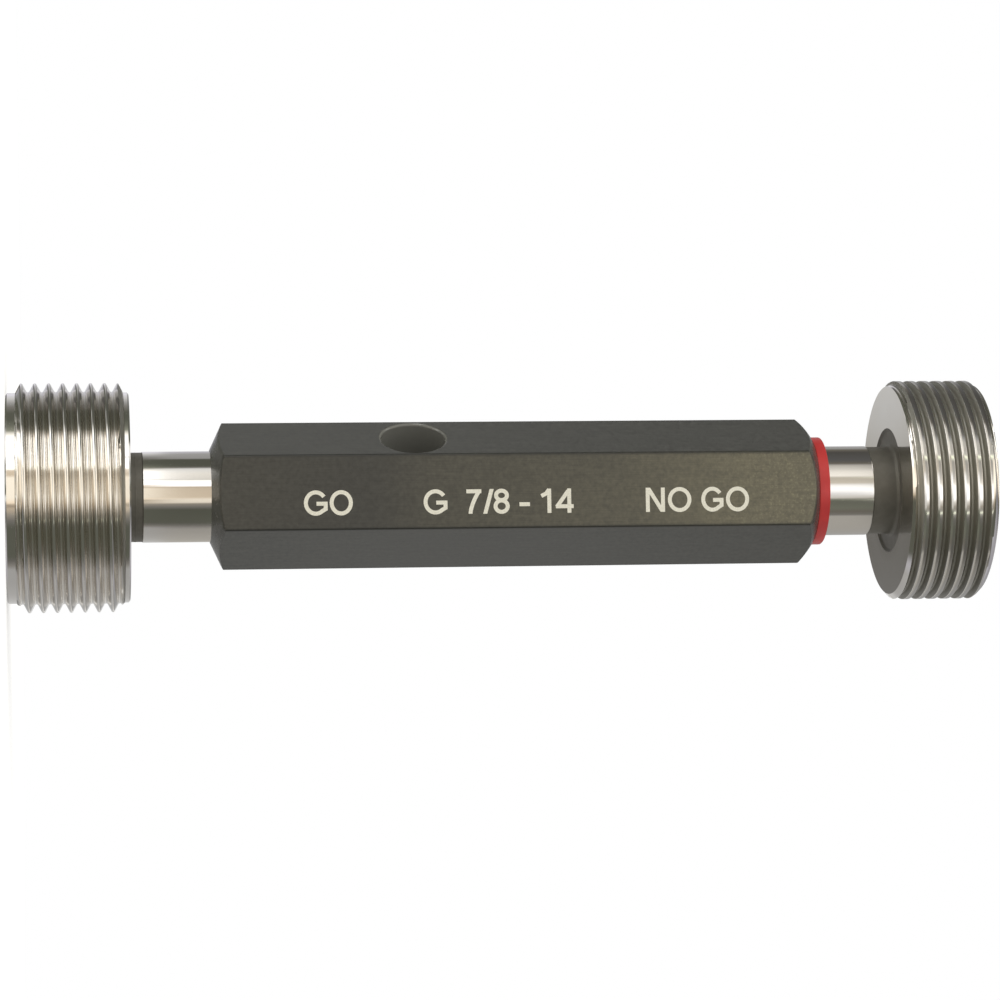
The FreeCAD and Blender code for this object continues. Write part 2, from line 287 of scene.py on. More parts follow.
def add_node(
    tree: bpy.types.NodeTree,
    kind: str,
    settings: dict[str, Any] | None = None,
    inputs: dict[str | int, Any] | None = None,
) -> bpy.types.Node:
    """Adds a node with its settings, values and links.

    Args:
        tree: The node tree.
        kind: Type name of the node, without its ShaderNode prefix.
        settings: Properties of the node.
        inputs: For each input, by name or place, a value or the socket that feeds it.

    Returns:
        The new node.
    """
    node = tree.nodes.new(f"ShaderNode{kind}")
    for name, value in (settings or {}).items():
        setattr(node, name, value)
    for key, value in (inputs or {}).items():
        if isinstance(value, bpy.types.NodeSocket):
            tree.links.new(value, node.inputs[key])
        else:
            node.inputs[key].default_value = value
    return node


def new_material(name: str) -> tuple[bpy.types.Material, bpy.types.NodeTree]:
    """An empty node material and its tree."""
    material = bpy.data.materials.new(name)
    material.use_nodes = True
    material.node_tree.nodes.clear()
    return material, material.node_tree


def finish_with(tree: bpy.types.NodeTree, inputs: dict[str | int, Any]) -> None:
    """Ends a material with one Principled shader."""
    shader = add_node(tree, "BsdfPrincipled", inputs=inputs)
    add_node(tree, "OutputMaterial", inputs={"Surface": shader.outputs[0]})


@dataclass(frozen=True)
class Span:
    """A range of numbers that is read, and the range that it becomes, held at its ends."""

    low: float
    high: float
    to_low: float = 0.0
    to_high: float = 1.0

    def reads(self, source: bpy.types.NodeSocket) -> dict[str | int, Any]:
        """Inputs of a Map Range node that reads a source in this way."""
        return {
            "Value": source,
            "From Min": self.low,
            "From Max": self.high,
            "To Min": self.to_low,
            "To Max": self.to_high,
        }


AS_IT_IS = Span(0.0, 1.0)


def soft_pattern(
    tree: bpy.types.NodeTree,
    vector: bpy.types.NodeSocket,
    size: float,
    detail: float = 2.0,
    stretch: tuple[float, float, float] = (1.0, 1.0, 1.0),
) -> bpy.types.NodeSocket:
    """A soft, uneven pattern with features of a real size.

    Args:
        tree: The node tree.
        vector: Where the pattern is read, in metres.
        size: Size of its features, in millimetres.
        detail: Finer layers in it.
        stretch: How much longer the features are along each axis.

    Returns:
        The pattern, about 0.5 on average.
    """
    scale = [1.0 / part for part in stretch]
    placed = add_node(tree, "Mapping", inputs={"Vector": vector, "Scale": scale})
    values = {"Vector": placed.outputs[0], "Scale": 1.0 / (size * MM), "Detail": detail}
    return add_node(tree, "TexNoise", inputs=values).outputs[0]


def blended(
    tree: bpy.types.NodeTree, pattern: bpy.types.NodeSocket, span: Span, first: Any, second: Any
) -> bpy.types.NodeSocket:
    """Two colours, blended as a pattern rises through a span.

    Args:
        tree: The node tree.
        pattern: The number that decides between the colours.
        span: The numbers that are read, and the share of the second colour they become.
        first: The colour at share 0, or the socket that feeds it.
        second: The colour at share 1, or the socket that feeds it.

    Returns:
        The blended colour.
    """
    share = add_node(tree, "MapRange", inputs=span.reads(pattern)).outputs[0]
    return add_node(tree, "Mix", {"data_type": "RGBA"}, {0: share, 6: first, 7: second}).outputs[2]


def scaled(
    tree: bpy.types.NodeTree, amount: bpy.types.NodeSocket, pattern: bpy.types.NodeSocket, span: Span
) -> bpy.types.NodeSocket:
    """A number, multiplied by a factor that follows a pattern.

    Args:
        tree: The node tree.
        amount: The number.
        pattern: What the factor follows.
        span: The numbers that are read, and the factor they become.

    Returns:
        The product.
    """
    factor = add_node(tree, "MapRange", inputs=span.reads(pattern)).outputs[0]
    return add_node(tree, "Math", {"operation": "MULTIPLY"}, {0: amount, 1: factor}).outputs[0]


def turned_marks(tree: bpy.types.NodeTree) -> tuple[bpy.types.NodeSocket, bpy.types.NodeSocket]:
    """Coordinates that are the same all the way round a turned piece.

    Returns:
        The piece's own coordinates, and (distance from the axis, 0, height).
    """
    place = add_node(tree, "TexCoord").outputs["Object"]
    split = add_node(tree, "SeparateXYZ", inputs={0: place})
    flat = add_node(tree, "CombineXYZ", inputs={0: split.outputs[0], 1: split.outputs[1]})
    radius = add_node(tree, "VectorMath", {"operation": "LENGTH"}, {0: flat.outputs[0]})
    rings = add_node(tree, "CombineXYZ", inputs={0: radius.outputs["Value"], 2: split.outputs[2]})
    return place, rings.outputs[0]


@dataclass(frozen=True)
class GroundSteel:
    """Hardened tool steel, ground and lapped: a light grey mirror with fine rings round it."""

    colour: str = "#e0ddd8"
    # Oil stain at the roots, which is also painted shade in the crease of each groove.
    stain_and_root_shade: str = "#dad5cd"
    roughness: float = 0.075
    thread_roughness: float = 0.1
    # Darker grey of unlapped grooves: a rougher finish, and painted shade in the grooves.
    dull: str = "#a6a49c"
    dull_roughness: float = 0.42
    dull_reach: float = 0.06
    mark_spacing: float = 0.12
    cloud_size: float = 3.5

    def build(self) -> bpy.types.Material:
        """Makes the material.

        The groove attribute is 0 on a crest and 1 at a root, where oil has left the steel a
        little browner, which also paints shade into the crease. The dull attribute is the
        same where the grooves were never lapped, and scatter the light; its darker grey is
        partly that finish and partly painted shade in the grooves. The grinding marks are
        0.12 mm apart, ten times as coarse as a fine wheel leaves them, because nearer ones
        would not show.

        Returns:
            The material.
        """
        material, tree = new_material("ground_tool_steel")
        place, rings = turned_marks(tree)
        marks = soft_pattern(tree, rings, self.mark_spacing, 3.0)
        clouds = soft_pattern(tree, place, self.cloud_size, 3.0)
        groove, dull = (
            add_node(tree, "Attribute", {"attribute_name": name}).outputs["Fac"]
            for name in ("groove", "dull")
        )
        # Browner towards the roots: oil stain, and painted shade in the crease.
        stain_and_root_shade = scaled(tree, groove, clouds, Span(0.3, 0.7, 0.3, 0.9))
        colour = blended(tree, stain_and_root_shade, AS_IT_IS, linear_rgb(self.colour), linear_rgb(self.stain_and_root_shade))
        # Darker grey in dull grooves: partly the unlapped finish, partly painted shade.
        colour = blended(tree, dull, Span(0.0, self.dull_reach), colour, linear_rgb(self.dull))
        lapped = Span(0.0, 0.25, self.roughness, self.thread_roughness)
        unlapped = Span(0.0, self.dull_reach, 0.0, self.dull_roughness)
        base = add_node(tree, "Math", {"operation": "ADD"}, {
            0: add_node(tree, "MapRange", inputs=lapped.reads(groove)).outputs[0],
            1: add_node(tree, "MapRange", inputs=unlapped.reads(dull)).outputs[0],
        })
        rough = scaled(tree, base.outputs[0], marks, Span(0.3, 0.7, 0.85, 1.2))
        bump = add_node(tree, "Bump", inputs={"Strength": 0.01, "Distance": 0.000002, "Height": marks})
        finish_with(tree, {
            "Base Color": colour,
            "Metallic": 1.0,
            "Roughness": rough,
            "Normal": bump.outputs[0],
        })
        return material


@dataclass(frozen=True)
class UngroundSteel:
    """Turned steel left dark by heat treatment: a dull brown-grey scale with coarse tool marks."""

    colour: str = "#656259"
    light: str = "#726e66"
    roughness: float = 0.5
    metallic: float = 0.35
    mark_spacing: float = 0.18
    cloud_size: float = 1.2

    def build(self) -> bpy.types.Material:
        """Makes the material, with tool marks at the feed of a rough cut."""
        material, tree = new_material("heat_treated_scale")
        place, rings = turned_marks(tree)
        marks = soft_pattern(tree, rings, self.mark_spacing)
        clouds = soft_pattern(tree, place, self.cloud_size, 4.0)
        pale = Span(0.4, 0.8, 0.0, 0.7)
        colour = blended(tree, clouds, pale, linear_rgb(self.colour), linear_rgb(self.light))
        bump = add_node(tree, "Bump", inputs={"Strength": 0.5, "Distance": 0.00001, "Height": marks})
        finish_with(tree, {
            "Base Color": colour,
            "Metallic": self.metallic,
            "Roughness": self.roughness,
            "Normal": bump.outputs[0],
        })
        return material


@dataclass(frozen=True)
class BlackOxide:
    """Drawn steel bar with a black oxide skin: satin grey-black, faintly mottled and lined."""

    colour: str = "#464642"
    fresh: str = "#35342f"
    handled: str = "#605b49"
    # Lighter grey of drilled and turned surfaces; inside the drift hole it is also painted light.
    turned: str = "#706f68"
    worn: str = "#8f8869"
    # Painted shade: the dark colour of the corners and the NO-GO cone.
    edge: str = "#23231f"
    roughness: float = 0.34
    turned_roughness: float = 0.2
    mottle_size: float = 0.55
    cloud_size: float = 9.0
    speck_size: float = 0.3
    line_spacing: float = 0.09

    def build(self) -> bpy.types.Material:
        """Makes the material.

        The drawing lines run along the bar. The corner attribute is 1 on the drawn
        corners and less on the NO-GO cone, where a darker colour is painted as shade. The
        handled attribute is 1 where fingers have rubbed the skin thin and brown: on the
        marked flat, towards the NO-GO end, where bare specks show too. The turned attribute
        is 1 where a drill or a lathe has left the skin smoother and greyer than the drawn
        flats; in the drift hole its lighter colour is also painted light.

        Returns:
            The material.
        """
        material, tree = new_material("black_oxide_steel")
        place = add_node(tree, "TexCoord").outputs["Object"]
        mottle = soft_pattern(tree, place, self.mottle_size, 5.0)
        clouds = soft_pattern(tree, place, self.cloud_size, 3.0, (1.0, 1.0, 2.5))
        lines = soft_pattern(tree, place, self.line_spacing, 2.0, (1.0, 1.0, 60.0))
        grains = soft_pattern(tree, place, self.speck_size, 3.0)
        corner, handled, marked, turned = (
            add_node(tree, "Attribute", {"attribute_name": name}).outputs["Fac"]
            for name in ("corner", "handled", "marked", "turned")
        )
        patchy = scaled(tree, handled, clouds, Span(0.35, 0.65, 0.85, 1.15))
        rubbed = blended(tree, patchy, AS_IT_IS, linear_rgb(self.fresh), linear_rgb(self.handled))
        specks = add_node(tree, "MapRange", inputs=Span(0.52, 0.66).reads(grains)).outputs[0]
        bare = scaled(tree, specks, handled, Span(0.8, 1.1, 0.0, 0.3))
        rubbed = blended(tree, bare, AS_IT_IS, rubbed, linear_rgb(self.worn))
        browned = blended(tree, marked, AS_IT_IS, linear_rgb(self.colour), rubbed)
        shade = add_node(tree, "MapRange", inputs=Span(0.3, 0.7, 0.80, 1.20).reads(mottle)).outputs[0]
        tone = scaled(tree, shade, lines, Span(0.3, 0.7, 0.88, 1.12))
        toned = add_node(tree, "VectorMath", {"operation": "SCALE"}, {0: browned, "Scale": tone}).outputs[0]
        # Lighter turned colour: partly the real finish, and painted light inside the drift hole.
        skin = blended(tree, turned, AS_IT_IS, toned, linear_rgb(self.turned))
        # Painted shade: darker colour on the corners and on the NO-GO cone.
        colour = blended(tree, corner, AS_IT_IS, skin, linear_rgb(self.edge))
        satin = Span(0.0, 0.4, self.roughness, self.turned_roughness)
        level = add_node(tree, "MapRange", inputs=satin.reads(turned)).outputs[0]
        rough = scaled(tree, level, mottle, Span(0.3, 0.7, 0.85, 1.2))
        height = add_node(tree, "Math", {"operation": "ADD"}, {0: mottle, 1: lines}).outputs[0]
        relief = add_node(tree, "MapRange", inputs=Span(0.3, 1.0, 0.45, 0.06).reads(turned)).outputs[0]
        bump = add_node(tree, "Bump", inputs={"Strength": relief, "Distance": 0.00001, "Height": height})
        finish_with(tree, {"Base Color": colour, "Roughness": rough, "Normal": bump.outputs[0]})
        return material


@dataclass(frozen=True)
class RingPlastic:
    """Moulded red plastic with a soft gloss."""

    colour: str = "#c33431"
    shade: str = "#b22e2d"
    roughness: float = 0.33
    peel_size: float = 0.35
    cloud_size: float = 2.5

    def build(self) -> bpy.types.Material:
        """Makes the material, with the faint orange peel of a moulded skin."""
        material, tree = new_material("moulded_red_plastic")
        place = add_node(tree, "TexCoord").outputs["Object"]
        peel = soft_pattern(tree, place, self.peel_size)
        clouds = soft_pattern(tree, place, self.cloud_size, 3.0)
        colour = blended(tree, clouds, Span(0.3, 0.7), linear_rgb(self.colour), linear_rgb(self.shade))
        bump = add_node(tree, "Bump", inputs={"Strength": 0.25, "Distance": 0.00001, "Height": peel})
        finish_with(tree, {"Base Color": colour, "Roughness": self.roughness, "Normal": bump.outputs[0]})
        return material


@dataclass(frozen=True)
class LaserMark:
    """The pale, matt trace that a marking laser leaves in the black skin."""

    colour: str = "#e6e1d0"
    core: str = "#d4cfbc"
    roughness: float = 0.7
    grain_size: float = 0.12

    def build(self) -> bpy.types.Material:
        """Makes the material, with the fine grain of the laser's passes."""
        material, tree = new_material("laser_marked_steel")
        place = add_node(tree, "TexCoord").outputs["Object"]
        grain = soft_pattern(tree, place, self.grain_size, 3.0)
        colour = blended(tree, grain, Span(0.35, 0.7), linear_rgb(self.colour), linear_rgb(self.core))
        finish_with(tree, {"Base Color": colour, "Roughness": self.roughness})
        return material


# ---------------------------------------------------------------- gauging members


@dataclass(frozen=True)
class ThreadForm:
    """A 55 degree Whitworth groove, repeated once a pitch."""

    major_radius: float
    depth: float
    crest_rounding: float
    groove_phase: float
    pitch: float = 1.8143
    root_rounding: float = 0.249
    flank_angle: float = 27.5
    arc_steps: int = 5

    def half_profile(self) -> tuple[np.ndarray, np.ndarray]:
        """Half a groove, from its centre to the middle of the crest.

        The root is an arc that turns through 90 degrees less the flank angle, the flank is
        straight, and a second arc leads into the crest, which is flat where the form is
        truncated.

        Returns:
            Distances along the axis from the groove's centre, and radii.
        """
        turned = math.radians(90.0 - self.flank_angle)
        sweep = np.linspace(0.0, turned, self.arc_steps + 1)
        root = self.major_radius - self.depth
        root_along = self.root_rounding * np.sin(sweep)
        root_radius = root + self.root_rounding * (1.0 - np.cos(sweep))
        slope = math.tan(math.radians(self.flank_angle))
        edge = root_along[-1] + (self.major_radius - root_radius[-1]) * slope
        centre = min(edge + self.crest_rounding * math.tan(turned / 2), self.pitch / 2)
        crest_along = centre - self.crest_rounding * np.sin(sweep[::-1])
        crest_radius = self.major_radius - self.crest_rounding * (1.0 - np.cos(sweep[::-1]))
        share = np.array([0.12, 0.88])
        along = np.concatenate([
            root_along, root_along[-1] + share * (crest_along[0] - root_along[-1]), crest_along])
        radii = np.concatenate([
            root_radius, root_radius[-1] + share * (crest_radius[0] - root_radius[-1]), crest_radius])
        if centre < self.pitch / 2 - 1e-4:
            along, radii = np.append(along, self.pitch / 2), np.append(radii, self.major_radius)
        return along, radii

    def radius(self, height: np.ndarray, angle: np.ndarray) -> np.ndarray:
        """Radius of the thread at a height and an angle; a groove climbs one pitch a turn."""
        along, radii = self.half_profile()
        offset = height - self.groove_phase - self.pitch * angle / TURN + self.pitch / 2
        return np.interp(np.abs(np.mod(offset, self.pitch) - self.pitch / 2), along, radii)

    def stations(self) -> np.ndarray:
        """Heights over one pitch, from a groove's centre, at which the profile has a point."""
        along, _ = self.half_profile()
        return np.concatenate([along[:-1], self.pitch - along[:0:-1]])


@dataclass
class Member:
    """One gauging member: threaded plug, unground neck, ground shank and taper.

    Its own frame has the outer face of the plug at the origin and the shank along +Z.
    """

    end: End
    thread: ThreadForm
    blank: list[tuple[float, float]]
    plug_length: float
    neck_length: float
    shank_shown: float
    insertion: float
    face_corners: list[tuple[float, float, float]]
    back_corners: list[tuple[float, float, float]]
    neck_ridge: float = 0.0
    ridge_place: float = 0.45
    ridge_half_width: float = 0.12
    # How much the grooves and the run-outs take the dull grey, which also paints shade into them.
    groove_dullness_and_shade: float = 0.0
    run_out_dullness_and_shade: float = 0.0
    recess_radius: float = 8.35
    recess_depth: float = 0.3
    neck_radius: float = 5.9
    neck_fillet: float = 0.5
    shank_radius: float = 6.0
    taper_ratio: float = 50.0
    columns: int = 264

    def plug_radius(self, height: np.ndarray, angle: np.ndarray) -> np.ndarray:
        """The smaller of the thread's radius and the blank's, so the blank trims the thread."""
        heights, radii = np.array(self.blank).T
        return np.minimum(self.thread.radius(height, angle), np.interp(height, heights, radii))

    def threaded_band(self) -> tuple[np.ndarray, int]:
        """The threaded surface, whose rows follow the helix.

        A row's height is its own height at angle 0 plus one pitch for each turn, held
        between the two ends of the blank. Rows that are held coincide and merge.

        Returns:
            Points as rows by columns by three, and the rows in one pitch.
        """
        low, high = self.blank[0][0], self.blank[-1][0]
        stations = self.thread.stations() + self.thread.groove_phase
        first = math.floor((low - self.thread.groove_phase) / self.thread.pitch) - 1
        turns = math.ceil((high - low) / self.thread.pitch) + 3
        starts = (first + np.arange(turns)) * self.thread.pitch
        rows = (starts[:, None] + stations[None, :]).reshape(-1)
        angles = around(self.columns)
        height = np.clip(rows[:, None] + self.thread.pitch * angles[None, :] / TURN, low, high)
        angle = np.broadcast_to(angles, height.shape)
        radius = self.plug_radius(height, angle)
        return np.stack([radius * np.cos(angle), radius * np.sin(angle), height], -1), len(stations)

    def stem(self) -> list[tuple[float, float, float]]:
        """Corners of the section behind the plug, from its inner face to the tapered tip."""
        plug = self.plug_length
        floor = plug - self.recess_depth
        neck = plug + self.neck_length
        mouth = neck + self.shank_shown
        tip = mouth + self.insertion
        tip_radius = self.shank_radius - self.insertion / (2 * self.taper_ratio)
        ridge = plug + self.ridge_place * self.neck_length
        return [
            (self.recess_radius, plug, 0.1),
            (self.recess_radius - 0.3, floor, 0.25),
            (self.neck_radius, floor, self.neck_fillet),
            (self.neck_radius, ridge - self.ridge_half_width, 0.05),
            (self.neck_radius + self.neck_ridge, ridge, 0.03),
            (self.neck_radius, ridge + self.ridge_half_width, 0.05),
            (self.neck_radius, neck - 0.05, 0.02),
            (self.shank_radius - 0.03, neck, 0.01),
            (self.shank_radius, neck + 0.08, 0.03),
            (self.shank_radius, mouth, 0.0),
            (tip_radius, tip - 0.6, 0.1),
            (tip_radius - 0.6, tip, 0.05),
            (0.0, tip, 0.0),
        ]

    def build(self, steel: bpy.types.Material, scale: bpy.types.Material) -> bpy.types.Object:
        """Builds the member in its own frame and sets it at its place on the gauge.

        Args:
            steel: Finish of the ground surfaces.
            scale: Finish of the unground recess and neck.

        Returns:
            The new object, which stands for its CAD node.
        """
        angles = around(self.columns)
        low, high = self.blank[0][0], self.blank[-1][0]
        rim_low = circle_row(self.plug_radius(np.full_like(angles, low), angles), low, angles)
        rim_high = circle_row(self.plug_radius(np.full_like(angles, high), angles), high, angles)
        front = rounded_path([*self.face_corners, (float(self.blank[0][1]), low, 0.0)])
        rear = rounded_path([(float(self.blank[-1][1]), high, 0.0), *self.back_corners, *self.stem()])
        surface = Surface()
        surface.add_rows([circle_row(r, z, angles) for r, z in front[:-1]] + [rim_low])
        band, per_pitch = self.threaded_band()
        surface.add(band, quads(band.shape[0], self.columns, per_pitch))
        dark = self.is_dark(rear[:-1], rear[1:])
        rear_rows = [rim_high] + [circle_row(r, z, angles) for r, z in rear[1:]]
        surface.add_rows(rear_rows, np.repeat(dark, self.columns))
        thing = surface.to_object(f"{self.end.value}_dressed", [steel, scale], sharp=38.0)
        self.place(thing)
        point_attribute(thing, "groove", self.groove_share)
        point_attribute(thing, "dull", self.dull_and_shade_share)
        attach(thing, "root")
        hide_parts(self.end.value)
        LOG.info("%s: %d faces", thing.name, len(thing.data.polygons))
        return thing

    def is_dark(self, start: np.ndarray, end: np.ndarray) -> np.ndarray:
        """Which spans of the stem are unground: those from the recess to the ground shank."""
        radius, height = ((start + end) / 2).T
        neck_end = self.plug_length + self.neck_length - 0.005
        recess = (radius < self.recess_radius + 0.1) & (height < self.plug_length + 0.001)
        neck = (height > self.plug_length) & (height < neck_end) & (radius < self.shank_radius - 0.02)
        return (recess | neck).astype(np.int32)

    def place(self, thing: bpy.types.Object) -> None:
        """Turns the NO-GO member over, so that its outer face is the top of the gauge."""
        if self.end is End.NO_GO:
            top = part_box(self.end.value)[1].z
            thing.data.transform(Matrix.Translation((0.0, 0.0, top)) @ Matrix.Rotation(math.pi, 4, "Y"))

    def groove_share(self, points: np.ndarray) -> np.ndarray:
        """How deep each point lies in the thread: 0 at the crest, 1 at the root."""
        radius = np.hypot(points[:, 0], points[:, 1])
        depth = self.thread.major_radius - radius
        on_plug = radius > self.thread.major_radius - self.thread.depth - 0.01
        return np.where(on_plug, np.clip(depth / self.thread.depth, 0.0, 1.0), 0.0)

    def dull_and_shade_share(self, points: np.ndarray) -> np.ndarray:
        """How dull each point of the thread is, and how much shade is painted there: most at the foot of a
        flank, not on the chamfers.
        """
        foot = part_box(self.end.value)[1].z / MM if self.end is End.NO_GO else 0.0
        along = np.abs(points[:, 2] - foot)
        threaded = (along > self.blank[1][0] + 0.02) & (along < self.blank[-2][0] - 0.02)
        radius = np.hypot(points[:, 0], points[:, 1])
        heights, radii = np.array(self.blank).T
        trimmed = np.abs(np.interp(along, heights, radii, 0.0, 0.0) - radius) < 0.004
        run_out = trimmed & (radius < self.thread.major_radius - 0.02)
        dull = np.where(threaded, self.groove_share(points) * self.groove_dullness_and_shade, 0.0)
        return np.where(run_out, self.run_out_dullness_and_shade, dull)


def centre_hole(rim: float, edge: float) -> list[tuple[float, float, float]]:
    """Corners of an outer face, from the bottom of its 60 degree centre hole to its rim.

    The pilot hole is 1.25 mm in radius and 5 mm deep. The cone opens from 2.42 mm deep to
    a mouth 2.65 mm in radius.

    Args:
        rim: Radius at the rim of the face.
        edge: Radius of the rounding at the rim.

    Returns:
        For each corner its radius, its height and its rounding.
    """
    pilot, bottom, cone_depth, mouth = 1.25, 5.0, 2.42, 2.65
    return [
        (0.0, bottom, 0.0),
        (pilot, bottom, 0.05),
        (pilot, cone_depth, 0.05),
        (mouth, 0.0, 0.06),
        (rim, 0.0, edge),
    ]


def go_member() -> Member:
    """The GO member: full thread form between two plain lands."""
    thread = ThreadForm(major_radius=15.0995, depth=1.162, crest_rounding=0.249, groove_phase=0.146)
    land, length, front_land, back_land = 13.848, 16.0, 1.25, 0.7
    run_up = (thread.major_radius - land) * math.tan(math.radians(thread.flank_angle))
    return Member(
        end=End.GO,
        thread=thread,
        blank=[
            (front_land, land),
            (front_land + run_up, thread.major_radius),
            (length - back_land - run_up, thread.major_radius),
            (length - back_land, land),
        ],
        plug_length=length,
        neck_length=1.7,
        neck_ridge=0.015,
        run_out_dullness_and_shade=0.06,
        shank_shown=8.9,
        insertion=22.3,
        face_corners=[*centre_hole(land - 0.2, 0.03), (land, 0.2, 0.05)],
        back_corners=[(land, length - 0.2, 0.05), (land - 0.2, length, 0.03)],
    )


def no_go_member() -> Member:
    """The NO-GO member: truncated crests that run out through a chamfer at each face."""
    thread = ThreadForm(major_radius=14.8, depth=0.79, crest_rounding=0.07, groove_phase=0.498)
    length, chamfer = 11.7, 0.75
    rim = thread.major_radius - chamfer
    return Member(
        end=End.NO_GO,
        thread=thread,
        blank=[
            (0.0, rim),
            (chamfer, thread.major_radius),
            (length - chamfer, thread.major_radius),
            (length, rim),
        ],
        plug_length=length,
        groove_dullness_and_shade=1.0,
        neck_length=3.2,
        shank_shown=6.3,
        insertion=24.0,
        face_corners=centre_hole(rim - 0.02, 0.0),
        back_corners=[(rim - 0.02, length, 0.0)],
    )


# ---------------------------------------------------------------- handle


@dataclass
class Handle:
    """The blackened hexagon bar: chamfered ends, nose, bore, two taper seats, drift hole."""

    flats: float = 16.9
    length: float = 80.75
    corner_radius: float = 0.3
    go_end_radius: float = 6.2
    go_end_angle: float = 25.0
    no_go_end_radius: float = 7.3
    no_go_end_angle: float = 35.0
    no_go_bulge: float = 0.06
    seat_radius: float = 6.01
    bore_radius: float = 5.0
    go_seat: float = 23.3
    no_go_seat: float = 25.0
    taper_ratio: float = 50.0
    nose_radius: float = 6.5
    nose_length: float = 1.45
    drift_radius: float = 4.25
    drift_offset: float = 26.7
    drift_direction: float = 210.0
    drift_easing: float = 0.42
    edge_ease: float = 0.06
    flat_columns: int = 14
    corner_columns: int = 5
    bar_rows: int = 30
    bar_margin: float = 4.0

    @property
    def start(self) -> float:
        """Height of the handle's GO end over the foot of the gauge, in millimetres."""
        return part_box("handle")[0].z / MM

    def outline(self) -> np.ndarray:
        """The bar's cross section: six flats joined by corner arcs.

        A corner arc's centre lies on the corner's direction, (half the flats less the
        radius) / cos 30 degrees from the axis, and its points stand off by the radius at
        up to 30 degrees to each side. The flats have columns close beside each arc.

        Returns:
            Points (x, y), anticlockwise from the corner on +X.
        """
        reach = (self.flats / 2 - self.corner_radius) / math.cos(math.pi / 6)
        spread = np.linspace(-math.pi / 6, math.pi / 6, self.corner_columns + 1)
        near = np.array([0.004, 0.02])
        share = np.concatenate([near, np.linspace(0.06, 0.94, self.flat_columns), 1.0 - near[::-1]])
        points = []
        for side in range(6):
            here, following = (side + np.array([0, 1])) * math.pi / 3
            centre = reach * np.array([math.cos(here), math.sin(here)])
            next_centre = reach * np.array([math.cos(following), math.sin(following)])
            arc = np.stack([np.cos(here + spread), np.sin(here + spread)], 1) * self.corner_radius + centre
            normal = (here + following) / 2
            offset = self.corner_radius * np.array([math.cos(normal), math.sin(normal)])
            flat = centre + offset + share[:, None] * (next_centre - centre)
            points.extend([arc, flat])
        return np.concatenate(points)

    def end_rows(self, outline: np.ndarray, radius: float, slope: float, bulge: float) -> Rows:
        """Rows from a turned end circle out to the first full hexagon, at height 0 and up.

        At a share s of the way to the edge, a point lies at radius R + s (rho - R) and at
        the height that the cone has there, less a bulge that is greatest half way. The
        edge where cone and flats meet is eased by a short facet.

        Args:
            outline: The bar's cross section.
            radius: Radius R of the end circle.
            slope: Angle between the cone and the end face, in degrees.
            bulge: How far the cone swells, in millimetres.

        Returns:
            The rows, from the end circle to the hexagon.
        """
        reach = np.hypot(*outline.T)
        rise = math.tan(math.radians(slope))
        unit = outline / reach[:, None]
        ease = self.edge_ease * math.cos(math.radians(slope))
        rows = []
        for share in (0.0, 0.02, 0.25, 0.5, 0.75, 1.0):
            out = radius + share * (reach - radius) - (ease if share == 1.0 else 0.0)
            height = (out - radius) * rise - bulge * math.sin(math.pi * share)
            rows.append(np.column_stack([unit * out[:, None], height]))
        edge = (reach - radius) * rise
        rows.append(np.column_stack([unit * (reach - 0.3 * ease)[:, None], edge + 0.25 * self.edge_ease]))
        rows.append(np.column_stack([outline, edge + self.edge_ease]))
        rows.append(np.column_stack([outline, edge + 2 * self.edge_ease]))
        return rows

    def rows(self) -> Rows:
        """All rows of the handle, a closed loop out of one end, along the bar and back inside."""
        outline = self.outline()
        angles = np.arctan2(outline[:, 1], outline[:, 0])
        top = np.array([1.0, 1.0, -1.0])
        go_end = self.end_rows(outline, self.go_end_radius, self.go_end_angle, 0.0)
        far_end = self.end_rows(outline, self.no_go_end_radius, self.no_go_end_angle, self.no_go_bulge)
        far_rows = [row * top + [0.0, 0.0, self.length] for row in reversed(far_end)]
        middle = [
            np.column_stack([outline, np.full(len(outline), height)])
            for height in np.linspace(self.bar_margin, self.length - self.bar_margin, self.bar_rows)
        ]
        nose_end = self.length + self.nose_length
        taper = 2 * self.taper_ratio
        inside = [
            (self.nose_radius, self.length, 0.0),
            (self.nose_radius, nose_end, 0.08),
            (self.seat_radius, nose_end, 0.03),
            (self.seat_radius - self.no_go_seat / taper, nose_end - self.no_go_seat, 0.0),
            (self.bore_radius, nose_end - self.no_go_seat, 0.0),
            (self.bore_radius, self.go_seat, 0.0),
            (self.seat_radius - self.go_seat / taper, self.go_seat, 0.0),
            (self.seat_radius, 0.0, 0.03),
            (self.go_end_radius - 0.01, 0.0, 0.0),
        ]
        loop = [circle_row(r, z, angles) for r, z in rounded_path(inside)]
        return [*go_end, *middle, *far_rows, *loop]

